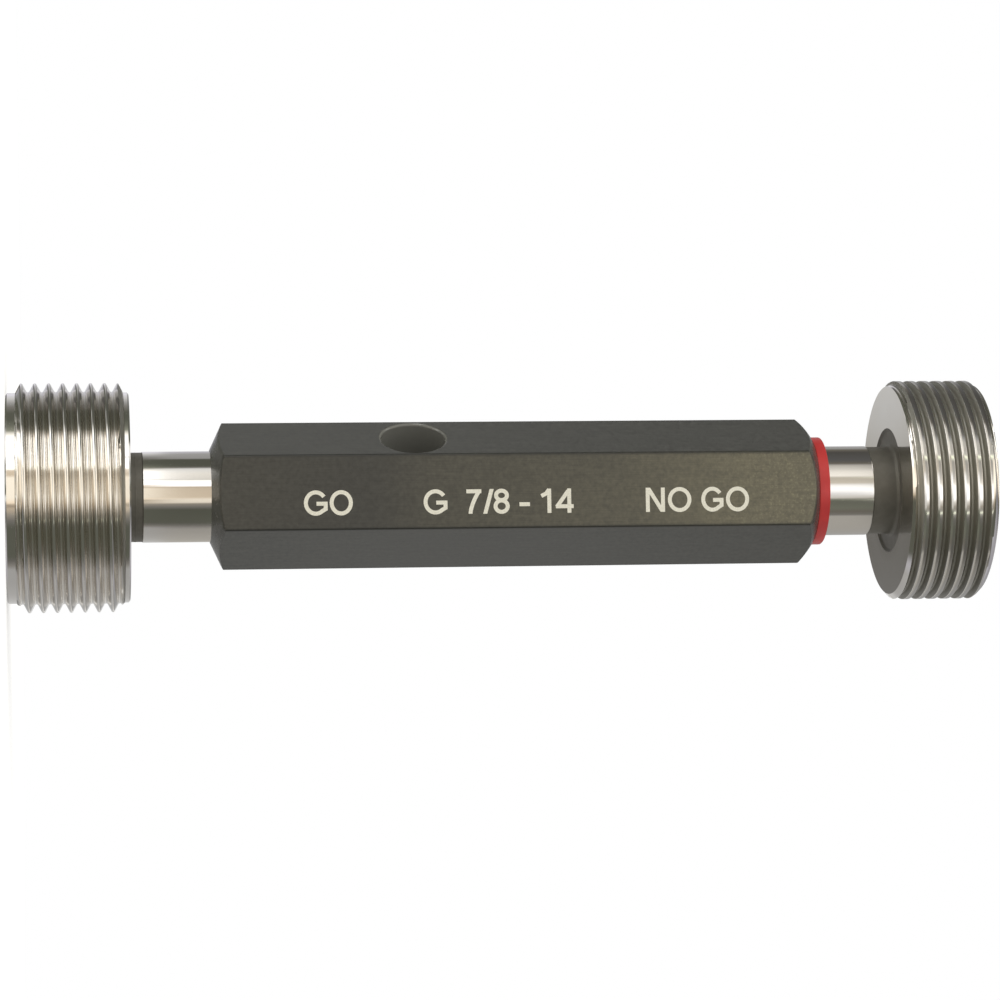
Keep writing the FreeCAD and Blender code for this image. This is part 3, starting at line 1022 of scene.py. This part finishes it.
    def cutter(self) -> bpy.types.Object:
        """A turned bar that cuts the drift hole and rounds its two mouths.

        Its radius is the hole's, and near each flat it grows by e (1 - sqrt(1 - s^2)),
        with s from 0 to 1 over the easing length e.

        Returns:
            The cutter, across the bar at the hole's height.
        """
        angles = around(96)
        share = np.linspace(0.0, 1.0, 7)
        mouth = self.flats / 2
        along = np.concatenate([mouth - self.drift_easing + share * self.drift_easing * 0.98, [mouth + 2.0]])
        swell = self.drift_easing * (1.0 - np.sqrt(1.0 - (share * 0.98) ** 2))
        radii = self.drift_radius + np.append(swell, swell[-1] + 0.6)
        heights = np.concatenate([-along[::-1], along])
        section = np.column_stack([np.concatenate([radii[::-1], radii]), heights])
        path = np.vstack([[0.0, heights[0]], section, [0.0, heights[-1]]])
        surface = Surface()
        surface.add_rows([circle_row(r, z, angles) for r, z in path])
        thing = surface.to_object("drift_cutter", [], 60.0)
        direction = math.radians(self.drift_direction)
        axis = Vector((math.cos(direction), math.sin(direction), 0.0))
        turn = axis.to_track_quat("Z", "Y").to_matrix().to_4x4()
        height = (self.start + self.drift_offset) * MM
        thing.data.transform(Matrix.Translation((0.0, 0.0, height)) @ turn)
        return thing

    def corner_shade_share(self, points: np.ndarray) -> np.ndarray:
        """Where shade is painted: 1 on the bar's drawn corners, less on the NO-GO cone, 0 on the flats."""
        normals = np.radians(np.arange(6) * 60.0 + 30.0)
        reach = points[:, :2] @ np.stack([np.cos(normals), np.sin(normals)])
        best = np.sort(reach, axis=1)
        gap = best[:, -1] - best[:, -2]
        on_side = best[:, -1] > self.flats / 2 - 0.06
        far_cone_shade = (best[:, -1] > self.nose_radius + 0.1) & (points[:, 2] > self.start + self.length - 3.0)
        return np.where(on_side, np.clip(1.0 - gap / 0.33, 0.0, 1.0), np.where(far_cone_shade, 0.3, 0.0))

    def on_marked_flat(self, points: np.ndarray) -> np.ndarray:
        """1 on the flat that carries the legends, and 0 elsewhere."""
        return (points[:, 1] < 0.1 - self.flats / 2).astype(float)

    def handled_share(self, points: np.ndarray) -> np.ndarray:
        """How thin the skin is rubbed, by height: from nothing at the GO end to all at the other."""
        heights = [self.start + along for along in (0.0, 21.0, 30.0, 44.0, 54.0, 64.0, 75.0)]
        return np.interp(points[:, 2], heights, [0.10, 0.02, 0.30, 0.38, 0.47, 0.82, 1.1])

    def turned_and_hole_light_share(self, points: np.ndarray) -> np.ndarray:
        """1 in the drift hole, where it paints light, less on the two turned ends, 0 on drawn flats and
        corners.
        """
        normals = np.radians(np.arange(6) * 60.0 + 30.0)
        reach = (points[:, :2] @ np.stack([np.cos(normals), np.sin(normals)])).max(axis=1)
        in_hole = np.abs(points[:, 2] - self.start - self.drift_offset) < self.drift_radius + 0.4
        return np.where(reach < self.flats / 2 - 0.03, np.where(in_hole, 1.0, 0.3), 0.0)

    def build(self, oxide: bpy.types.Material) -> bpy.types.Object:
        """Builds the handle and cuts its drift hole.

        Args:
            oxide: The handle's finish.

        Returns:
            The new object, which stands for its CAD node.
        """
        surface = Surface()
        rows = [row + [0.0, 0.0, self.start] for row in self.rows()]
        surface.add_rows(rows, close_rows=True)
        thing = surface.to_object("handle_dressed", [oxide], 30.0)
        cutter = self.cutter()
        cut = thing.modifiers.new("drift_hole", "BOOLEAN")
        cut.operation = "DIFFERENCE"
        cut.solver = "EXACT"
        cut.object = cutter
        bpy.context.view_layer.update()
        done = bpy.data.meshes.new_from_object(thing.evaluated_get(bpy.context.evaluated_depsgraph_get()))
        thing.modifiers.clear()
        thing.data = done
        bpy.data.objects.remove(cutter)
        done.shade_smooth()
        done.set_sharp_from_angle(angle=math.radians(30.0))
        point_attribute(thing, "corner", self.corner_shade_share)
        point_attribute(thing, "marked", self.on_marked_flat)
        point_attribute(thing, "handled", self.handled_share)
        point_attribute(thing, "turned", self.turned_and_hole_light_share)
        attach(thing, "root")
        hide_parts("handle")
        LOG.info("%s: %d faces", thing.name, len(done.polygons))
        return thing


@dataclass
class MarkingRing:
    """The red ring that marks the NO-GO end."""

    inner_radius: float = 6.52
    outer_radius: float = 7.25
    width: float = 1.45
    edge: float = 0.16
    columns: int = 160

    def build(self, plastic: bpy.types.Material) -> bpy.types.Object:
        """Builds the ring, a rounded band in place of its CAD node."""
        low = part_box("no_go_ring")[0].z / MM
        corners = [
            (self.inner_radius, self.width / 2, 0.0),
            (self.inner_radius, 0.0, 0.05),
            (self.outer_radius, 0.0, self.edge),
            (self.outer_radius, self.width, self.edge),
            (self.inner_radius, self.width, 0.05),
            (self.inner_radius, self.width / 2 + 0.01, 0.0),
        ]
        angles = around(self.columns)
        surface = Surface()
        rows = [circle_row(r, z + low, angles) for r, z in rounded_path(corners, 6)]
        surface.add_rows(rows, close_rows=True)
        thing = surface.to_object("marking_ring", [plastic], 40.0)
        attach(thing, "root")
        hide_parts("no_go_ring")
        LOG.info("%s: %d faces", thing.name, len(thing.data.polygons))
        return thing


# ---------------------------------------------------------------- legends


def arc_points(centre: tuple[float, float], radii: tuple[float, float], start: float, end: float,
               steps: int = 40) -> np.ndarray:
    """Points of an elliptic arc: centre + (rx cos a, ry sin a), a in degrees."""
    turned = np.radians(np.linspace(start, end, steps + 1))
    return np.stack([centre[0] + radii[0] * np.cos(turned), centre[1] + radii[1] * np.sin(turned)], 1)


@dataclass(frozen=True)
class Stroke:
    """One line of a letter: its centre line, whether that closes, and whether its ends are cut level."""

    path: np.ndarray
    closed: bool = False
    level_ends: bool = False


@dataclass
class Lettering:
    """Plain letters of even stroke, each drawn in a box of its own width and one height."""

    height: float = 3.2
    stroke: float = 0.52
    overshoot: float = 0.05

    def ring(self, width: float, low: float, high: float) -> Stroke:
        """A closed oval between two heights."""
        half = self.stroke / 2
        centre = (width / 2, (low + high) / 2)
        path = arc_points(centre, (width / 2 - half, (high - low) / 2 - half), 0.0, 360.0)
        return Stroke(path[:-1], True)

    def letter(self, sign: str, width: float) -> list[Stroke]:
        """The strokes of one sign.

        Args:
            sign: The letter, digit or mark.
            width: Its width, in millimetres.

        Returns:
            Its strokes, with the baseline at 0.
        """
        tall, half = self.height, self.stroke / 2
        low, high = -self.overshoot, tall + self.overshoot
        middle, bowl = (width / 2, tall / 2), (width / 2 - half, (high - low) / 2 - half)
        if sign == "O":
            return [self.ring(width, low, high)]
        if sign == "G":
            spur = width - half
            bar = 0.47 * tall
            arc = arc_points(middle, bowl, 35.0, 310.0)
            jaw = np.array([[spur, 0.25 * tall], [spur, bar], [0.53 * width, bar]])
            return [Stroke(np.vstack([arc, jaw]))]
        if sign == "N":
            first = np.array([[half, 0.0], [half, tall]])
            slope = np.array([[half * 1.15, tall], [width - half * 1.15, 0.0]])
            return [Stroke(first), Stroke(first + [width - 2 * half, 0.0]), Stroke(slope, level_ends=True)]
        if sign == "8":
            waist = 0.54 * tall
            lower = self.ring(width, low, waist + half * 0.9)
            upper = self.ring(width * 0.92, waist - half * 0.9, high)
            return [lower, Stroke(upper.path + [width * 0.04, 0.0], True)]
        if sign == "7":
            bar = np.array([[0.0, tall - half], [width, tall - half]])
            rise = np.linspace(0.0, 1.0, 25)
            foot, reach = 0.26 * width, 0.74 * width - 1.15 * half
            leg = np.column_stack([foot + reach * rise**1.6, rise * (tall - 0.9 * half)])
            return [Stroke(bar), Stroke(leg, level_ends=True)]
        if sign == "1":
            stem = width - half
            flag = np.array([[0.02, 0.70 * tall], [stem * 0.62, 0.80 * tall], [stem, tall * 0.97]])
            return [Stroke(np.array([[stem, 0.0], [stem, tall]])), Stroke(flag)]
        if sign == "4":
            stem, bar = 0.76 * width, 0.27 * tall
            upright = np.array([[stem, 0.0], [stem, tall]])
            brace = np.array([[half * 0.8, bar + 0.03], [stem - half * 0.1, tall - half * 0.6]])
            crossbar = np.array([[0.0, bar], [width, bar]])
            return [Stroke(upright), Stroke(crossbar), Stroke(brace, level_ends=True)]
        if sign == "/":
            return [Stroke(np.array([[half, -0.02], [width - half, tall + 0.02]]), level_ends=True)]
        return [Stroke(np.array([[0.0, 0.37 * tall], [width, 0.37 * tall]]))]

    def edges(self, stroke: Stroke) -> tuple[np.ndarray, np.ndarray]:
        """Both edges of a stroke, mitred at its corners.

        An edge lies half the stroke's width from the centre line along the mean normal of
        the two spans that meet there, divided by the cosine of half their turn. Where the
        ends are cut level it is set off sideways, by as much more as the line leans.

        Args:
            stroke: The stroke.

        Returns:
            Points of its left and its right edge.
        """
        path = stroke.path
        step = np.roll(path, -1, 0) - path
        step /= np.linalg.norm(step, axis=1)[:, None]
        before = np.roll(step, 1, 0)
        if not stroke.closed:
            step[-1], before[0] = step[-2], step[0]
            before[-1] = step[-2]
        normal = np.stack([-(step + before)[:, 1], (step + before)[:, 0]], 1)
        normal /= np.linalg.norm(normal, axis=1)[:, None]
        if stroke.level_ends:
            sideways = np.column_stack([self.stroke / 2 / normal[:, 0], np.zeros(len(path))])
            return path + sideways, path - sideways
        across = np.stack([-step[:, 1], step[:, 0]], 1)
        offset = normal * (self.stroke / 2 / np.maximum((normal * across).sum(1), 0.5))[:, None]
        return path + offset, path - offset


@dataclass
class Legends:
    """The handle's four marks: the names of the two ends and the thread's standard size."""

    lettering: Lettering
    baseline: float = 3.0
    words: tuple[tuple[tuple[str, float, float], ...], ...] = (
        (("G", 38.46, 3.10), ("O", 41.82, 3.03)),
        (("G", 54.13, 3.14),),
        (
            ("7", 59.78, 1.98),
            ("/", 61.97, 1.42),
            ("8", 63.35, 2.13),
            ("-", 66.78, 1.39),
            ("1", 69.67, 1.33),
            ("4", 71.60, 2.36),
        ),
        (("N", 83.60, 2.55), ("O", 86.55, 3.15), ("G", 91.03, 2.98), ("O", 94.35, 3.11)),
    )
    sunk: float = 0.01
    raised: float = 0.012
    step: float = 0.004

    def build(self, flat: float, mark: bpy.types.Material) -> bpy.types.Object:
        """Lays every stroke on the marked flat as a thin closed bar.

        A stroke's section is a flat rectangle that starts a little inside the handle. The
        strokes of one letter stand at slightly different heights, so that no two faces
        lie in one plane where they cross.

        Args:
            flat: Distance of the marked flat from the axis, in millimetres.
            mark: The marks' finish.

        Returns:
            The new object.
        """
        surface = Surface()
        for word in self.words:
            for sign, start, width in word:
                for order, stroke in enumerate(self.lettering.letter(sign, width)):
                    top = flat + self.raised + order * self.step
                    self.add_stroke(surface, stroke, start, flat - self.sunk, top)
        thing = surface.to_object("handle_legends", [mark], 30.0)
        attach(thing, "root")
        LOG.info("%s: %d faces", thing.name, len(thing.data.polygons))
        return thing

    def add_stroke(self, surface: Surface, stroke: Stroke, start: float, low: float, high: float) -> None:
        """Adds one stroke: across the letter is +Z, up the letter is -X, out of the flat -Y."""
        left, right = self.lettering.edges(stroke)
        corners = [(left, low), (right, low), (right, high), (left, high)]
        grid = np.stack([
            np.column_stack([self.baseline - edge[:, 1], np.full(len(edge), -depth), start + edge[:, 0]])
            for edge, depth in corners
        ], 1)
        faces = quads(grid.shape[0], 4, 0, stroke.closed)
        if not stroke.closed:
            last = (grid.shape[0] - 1) * 4
            faces = np.vstack([faces, [3, 2, 1, 0], [last, last + 1, last + 2, last + 3]])
        surface.add(grid, faces)


# ---------------------------------------------------------------- studio


WHITE, COOL, IVORY, WARM, BEIGE, OLIVE = "#ffffff", "#f6f5ff", "#fffbf3", "#fff6e6", "#ffecd2", "#fbffe9"


@dataclass(frozen=True)
class Tier:
    """One height of the studio that the steel mirrors: how light it is at each bearing.

    Bearings are in degrees about the gauge's axis, 0 towards the camera and 90 towards -X.
    A light is a bearing, a colour and a strength. From one light to the next, and from one
    tier to the next, the studio changes evenly.
    """

    low: float
    high: float
    lights: tuple[tuple[float, str, float], ...]

    def glow(self, bearing: np.ndarray) -> np.ndarray:
        """Red, green, blue and alpha at each bearing."""
        places = [light[0] for light in self.lights]
        colours = np.array([linear_rgb(colour) for _, colour, _ in self.lights])
        colours[:, :3] *= np.array([light[2] for light in self.lights])[:, None]
        return np.stack([np.interp(bearing, places, part, period=360.0) for part in colours.T], -1)


# The lit and dark sides of the light box, from below. Part of these numbers was printed by
# another program from measured tones, and the rest was set by hand against such tones:
# report.md tells which, under "Open fault". They are fitted, and not a plain studio.
#
# A thread's groove throws the light to and fro between its flanks: it leaves 15 degrees
# off its mirror after three throws, or more steeply after two. The steep lights are what
# the GO plug's grooves mirror then, and the slant lights what the NO-GO plug's do. The
# low tiers also hold what the NO-GO plug's inner face mirrors.
STEEP_LIGHTS = (
    (-180.0, COOL, 0.35), (-140.0, COOL, 0.50), (-125.0, COOL, 0.68), (-112.0, COOL, 0.60),
    (-103.0, OLIVE, 0.13), (-24.0, OLIVE, 0.13), (-16.0, BEIGE, 0.40), (-10.0, BEIGE, 0.85),
    (0.0, WARM, 1.2),
    (10.0, WARM, 1.7), (52.0, WARM, 1.6), (58.0, WHITE, 2.2), (68.0, WHITE, 2.3), (73.0, WHITE, 3.4),
    (86.0, WHITE, 3.2), (92.0, WHITE, 2.4), (98.0, IVORY, 0.4), (105.0, OLIVE, 0.14), (111.0, OLIVE, 0.14),
    (115.0, WHITE, 1.3), (127.0, WHITE, 1.3), (132.0, OLIVE, 0.14), (150.0, OLIVE, 0.14), (165.0, WHITE, 0.3),
)
SLANT_LIGHTS = (
    (-180.0, COOL, 0.35), (-140.0, COOL, 0.50), (-125.0, COOL, 0.68), (-106.0, COOL, 0.50),
    (-96.0, OLIVE, 0.13), (-30.0, OLIVE, 0.13), (-16.0, BEIGE, 0.5), (-6.0, WARM, 1.2), (12.0, WARM, 1.7),
    (24.0, WARM, 1.3), (46.0, WARM, 1.0), (56.0, OLIVE, 0.14), (150.0, OLIVE, 0.14), (165.0, WHITE, 0.3),
)
STUDIO_TIERS = (
    Tier(-88.0, -84.0, SLANT_LIGHTS),
    Tier(-80.0, -42.0, STEEP_LIGHTS),
    Tier(-36.0, -21.0, (
        (-180.0, WHITE, 0.35), (-128.0, WHITE, 0.50), (-84.0, WHITE, 0.40), (-66.0, OLIVE, 0.15),
        (-10.0, OLIVE, 0.15), (5.0, WARM, 0.5), (50.0, WARM, 0.5), (58.0, OLIVE, 0.14), (150.0, OLIVE, 0.13),
    )),
    Tier(-17.0, -12.0, (
        (-180.0, IVORY, 0.165), (-178.9, IVORY, 0.155), (-177.5, WHITE, 0.22), (-170.0, WHITE, 0.45),
        (-128.0, WHITE, 0.50), (-90.0, WHITE, 0.42), (-82.0, IVORY, 0.22), (-72.0, OLIVE, 0.14),
        (-24.0, OLIVE, 0.14), (-14.0, IVORY, 0.30), (-9.0, BEIGE, 0.9), (0.0, WARM, 1.5), (18.0, WARM, 1.5),
        (24.0, WARM, 1.0), (30.0, WARM, 1.1), (34.0, WHITE, 3.8), (68.0, WHITE, 3.6),
        (74.0, IVORY, 1.2), (80.0, IVORY, 0.30), (90.0, OLIVE, 0.14),
        (106.0, OLIVE, 0.13), (150.0, WHITE, 0.14), (168.0, WHITE, 0.20), (174.0, COOL, 0.70),
        (177.5, WHITE, 0.68), (178.5, WHITE, 0.59), (179.3, IVORY, 0.48),
    )),
    Tier(-4.0, 1.1, (
        (-180.0, WHITE, 0.70), (-130.0, WHITE, 0.51), (-105.0, WHITE, 0.45), (-84.0, WHITE, 0.45),
        (-78.0, IVORY, 0.28), (-72.0, IVORY, 0.17), (-66.0, OLIVE, 0.13), (-32.0, OLIVE, 0.13),
        (-24.0, IVORY, 0.21), (-18.0, WARM, 0.38), (-11.0, BEIGE, 0.66), (-9.0, BEIGE, 0.45),
        (-7.0, BEIGE, 0.50), (-5.0, BEIGE, 1.23), (0.0, WARM, 1.30), (22.0, WARM, 1.36),
        (25.0, BEIGE, 0.85), (30.0, BEIGE, 0.90), (33.0, WHITE, 2.2),
        (42.0, WHITE, 2.2), (44.0, WHITE, 1.2), (47.0, WHITE, 2.2), (68.0, WHITE, 2.0), (74.0, IVORY, 1.24),
        (78.5, OLIVE, 0.35), (86.0, OLIVE, 0.20), (95.0, OLIVE, 0.13), (106.0, OLIVE, 0.13),
        (118.0, IVORY, 0.24), (127.0, WHITE, 0.41), (140.0, WHITE, 0.72), (155.0, COOL, 0.96),
    )),
    Tier(1.35, 4.0, (
        (-180.0, WHITE, 0.60), (-165.0, IVORY, 0.50), (-120.0, IVORY, 0.45), (-90.0, IVORY, 0.38),
        (-78.0, IVORY, 0.19), (-70.0, OLIVE, 0.12), (-32.0, OLIVE, 0.11), (-25.0, IVORY, 0.22),
        (-17.5, WARM, 0.34), (-14.0, WARM, 1.05), (-7.0, WARM, 1.12), (-1.0, BEIGE, 0.78),
        (22.0, BEIGE, 0.72),
        (25.0, BEIGE, 0.6), (27.5, WHITE, 1.8), (40.5, WHITE, 1.8), (43.0, IVORY, 0.86), (60.0, IVORY, 1.0),
        (75.0, WHITE, 0.92), (80.0, IVORY, 0.2), (84.0, OLIVE, 0.11), (110.0, OLIVE, 0.11),
        (115.0, WHITE, 0.38), (140.0, WHITE, 0.42), (155.0, COOL, 0.60),
    )),
    Tier(5.2, 7.8, (
        (-180.0, WHITE, 0.70), (-150.0, WHITE, 1.3), (-90.0, WHITE, 1.3), (-45.0, OLIVE, 0.15),
        (45.0, OLIVE, 0.15), (110.0, OLIVE, 0.13), (125.0, WHITE, 0.25), (150.0, WHITE, 0.50),
    )),
    Tier(9.0, 14.15, (
        (-180.0, WHITE, 0.41), (-110.0, IVORY, 0.46), (-70.0, IVORY, 0.48), (-65.0, IVORY, 0.22),
        (-56.0, WARM, 0.18), (-45.0, OLIVE, 0.20), (-26.0, OLIVE, 0.16), (-22.0, OLIVE, 0.30),
        (-18.0, IVORY, 0.78), (-7.0, WHITE, 0.98), (-3.0, WHITE, 1.24), (5.0, WHITE, 1.6),
        (13.0, WHITE, 1.35), (20.0, WARM, 0.79), (34.0, WARM, 0.66), (39.0, IVORY, 1.25),
        (50.0, IVORY, 1.11), (58.0, IVORY, 0.86), (68.0, IVORY, 0.64), (75.0, WARM, 0.17),
        (86.0, WHITE, 0.12), (118.0, IVORY, 0.09), (132.0, WARM, 0.17), (145.0, WHITE, 0.41),
    )),
    Tier(14.5, 24.0, (
        (-180.0, WHITE, 0.36), (-130.0, WHITE, 0.34), (-100.0, IVORY, 0.29), (-88.0, IVORY, 0.25),
        (-78.0, IVORY, 0.17), (-70.0, IVORY, 0.13), (-40.0, OLIVE, 0.14), (-31.0, IVORY, 0.18),
        (-26.5, IVORY, 0.38), (-24.5, OLIVE, 1.4), (-22.5, IVORY, 0.38), (-18.0, WARM, 0.42),
        (-13.0, IVORY, 0.95), (-9.0, WHITE, 1.8), (2.0, WHITE, 1.8), (7.0, IVORY, 1.05), (12.0, IVORY, 0.72),
        (19.0, IVORY, 0.54), (30.0, IVORY, 0.43), (32.5, OLIVE, 1.0), (34.5, OLIVE, 1.6), (37.0, IVORY, 0.66),
        (42.0, IVORY, 0.60), (50.0, IVORY, 0.62), (55.0, WHITE, 0.42), (60.0, IVORY, 0.20),
        (68.0, IVORY, 0.12), (80.0, IVORY, 0.095), (112.0, IVORY, 0.09), (138.0, WHITE, 0.13),
        (150.0, WHITE, 0.20), (165.0, WHITE, 0.40),
    )),
    Tier(42.0, 57.0, SLANT_LIGHTS),
    Tier(61.0, 80.0, STEEP_LIGHTS),
    Tier(84.0, 88.0, SLANT_LIGHTS),
)


@dataclass
class Studio:
    """Plain studio: pale floor, soft light, the light box in the steel, and the camera."""

    swing: float = 2.8416
    distance: float = 450.85
    side: float = -0.815
    height: float = 7.527
    tilt: float = 7.302
    roll: float = -0.5544
    lens: float = 122.386
    floor_radius: float = 150.0
    box_radius: float = 6000.0
    columns: int = 720
    ambient: float = 0.78
    key_power: float = 3.0
    key_size: float = 0.6
    tiers: tuple[Tier, ...] = STUDIO_TIERS

    def directions(self) -> tuple[Vector, Vector]:
        """Unit vectors towards the camera and to its left side of the standing gauge."""
        swing = math.radians(self.swing)
        towards = Vector((math.sin(swing), -math.cos(swing), 0.0))
        return towards, Vector((-math.cos(swing), -math.sin(swing), 0.0))

    def build(self) -> None:
        """Makes the world, the floor, the light box, the lamps and the camera."""
        self.make_world()
        self.make_floor()
        self.make_light_box()
        self.make_lamps()
        self.make_camera()

    def make_world(self) -> None:
        """Soft grey light for the surfaces, and plain white where it is seen or reflected."""
        world = bpy.data.worlds.new("studio")
        world.use_nodes = True
        tree = world.node_tree
        tree.nodes.clear()
        path = add_node(tree, "LightPath")
        seen = add_node(tree, "Math", {"operation": "ADD"},
                        {0: path.outputs["Is Camera Ray"], 1: path.outputs["Is Glossy Ray"]})
        seen = add_node(tree, "Math", {"operation": "ADD", "use_clamp": True},
                        {0: seen.outputs[0], 1: path.outputs["Is Transmission Ray"]})
        soft = (self.ambient, self.ambient, self.ambient * 0.985, 1.0)
        colour = blended(tree, seen.outputs[0], AS_IT_IS, soft, linear_rgb(WHITE))
        background = add_node(tree, "Background", inputs={"Color": colour, "Strength": 1.0})
        add_node(tree, "OutputWorld", inputs={"Surface": background.outputs[0]})
        bpy.context.scene.world = world

    def make_floor(self) -> None:
        """A pale disc under the gauge, white to the camera, which keeps the soft shadow."""
        material, tree = new_material("pale_floor")
        path = add_node(tree, "LightPath")
        paint = add_node(tree, "BsdfDiffuse", inputs={"Color": linear_rgb("#efeeec")})
        lift = add_node(tree, "Math", {"operation": "MULTIPLY"}, {0: path.outputs["Is Camera Ray"], 1: 0.35})
        glow = add_node(tree, "Emission", inputs={"Strength": lift.outputs[0]})
        both = add_node(tree, "AddShader", inputs={0: paint.outputs[0], 1: glow.outputs[0]})
        add_node(tree, "OutputMaterial", inputs={"Surface": both.outputs[0]})
        angles = around(128)
        surface = Surface()
        radii = (self.floor_radius, self.floor_radius / 2, 0.0)
        surface.add_rows([circle_row(radius, 0.0, angles) for radius in radii])
        floor = surface.to_object("floor", [material], 30.0)
        floor.visible_glossy = False
        floor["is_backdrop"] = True

    def make_light_box(self) -> None:
        """Surrounds the gauge with the tiers, on a sphere that only reflections see.

        A point of the sphere lies at radius R, bearing b and elevation e: R cos e along
        the bearing and R sin e upwards, from the middle of the gauge.
        """
        material, tree = new_material("light_box")
        light = add_node(tree, "Attribute", {"attribute_name": "glow"})
        glow = add_node(tree, "Emission", inputs={"Color": light.outputs["Color"]})
        add_node(tree, "OutputMaterial", inputs={"Surface": glow.outputs[0]})
        material.cycles.emission_sampling = "NONE"
        towards, left = self.directions()
        turned = around(self.columns)
        level = np.cos(turned)[:, None] * np.array(towards) + np.sin(turned)[:, None] * np.array(left)
        rises = np.radians([edge for tier in self.tiers for edge in (tier.low, tier.high)])
        middle = (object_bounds()[0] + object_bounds()[1]).z / 2 / MM
        up = np.array([0.0, 0.0, 1.0])
        rows = [
            self.box_radius * (math.cos(rise) * level + math.sin(rise) * up) + middle * up for rise in rises
        ]
        points = np.concatenate(rows)
        mesh = bpy.data.meshes.new("light_box")
        mesh.from_pydata((points * MM).tolist(), [], quads(len(rows), self.columns).tolist())
        colours = np.concatenate([tier.glow(np.degrees(turned)) for tier in self.tiers for _ in range(2)])
        layer = mesh.attributes.new("glow", "FLOAT_COLOR", "POINT")
        layer.data.foreach_set("color", colours.astype(np.float32).ravel())
        mesh.materials.append(material)
        box = bpy.data.objects.new("light_box", mesh)
        bpy.context.scene.collection.objects.link(box)
        box.visible_camera = False
        box.visible_diffuse = False
        box.visible_transmission = False
        box.visible_volume_scatter = False
        box.visible_shadow = False
        box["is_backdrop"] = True

    def make_lamps(self) -> None:
        """One broad soft key from the side of -X, above."""
        towards, left = self.directions()
        key = bpy.data.lights.new("key", "AREA")
        key.energy = self.key_power
        key.size = self.key_size
        lamp = bpy.data.objects.new("key", key)
        place = towards * 0.5 + left * 0.7 + Vector((0.0, 0.0, 0.45))
        target = Vector((0.0, 0.0, 0.06))
        turn = (place - target).to_track_quat("Z", "Y").to_matrix().to_4x4()
        lamp.matrix_world = Matrix.Translation(place) @ turn
        lamp.visible_glossy = False
        bpy.context.scene.collection.objects.link(lamp)

    def make_camera(self) -> None:
        """A long lens at plug height, tilted up a little and turned on its side."""
        towards, left = self.directions()
        upright = Vector((0.0, 0.0, 1.0))
        place = (towards * self.distance + left * self.side + upright * self.height) * MM
        tilt, roll = math.radians(self.tilt), math.radians(self.roll)
        forward = -towards * math.cos(tilt) + upright * math.sin(tilt)
        right = towards * math.sin(tilt) + upright * math.cos(tilt)
        turned_right = right * math.cos(roll) + left * math.sin(roll)
        turned_up = left * math.cos(roll) - right * math.sin(roll)
        data = bpy.data.cameras.new("camera")
        data.lens = self.lens
        data.sensor_width = 36.0
        data.clip_start = 0.01
        camera = bpy.data.objects.new("camera", data)
        columns = Matrix((turned_right, turned_up, -forward)).transposed().to_4x4()
        camera.matrix_world = Matrix.Translation(place) @ columns
        bpy.context.scene.collection.objects.link(camera)
        bpy.context.scene.camera = camera


def main() -> None:
    """Builds the gauge's pieces, the studio and the camera."""
    logging.basicConfig(level=logging.INFO, format="%(message)s")
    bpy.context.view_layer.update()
    steel, scale = GroundSteel().build(), UngroundSteel().build()
    for member in (go_member(), no_go_member()):
        member.build(steel, scale)
    handle = Handle()
    handle.build(BlackOxide().build())
    MarkingRing().build(RingPlastic().build())
    Legends(Lettering()).build(handle.flats / 2, LaserMark().build())
    Studio().build()
    bpy.context.scene.view_settings.view_transform = "Standard"


if __name__ == "__main__":
    main()
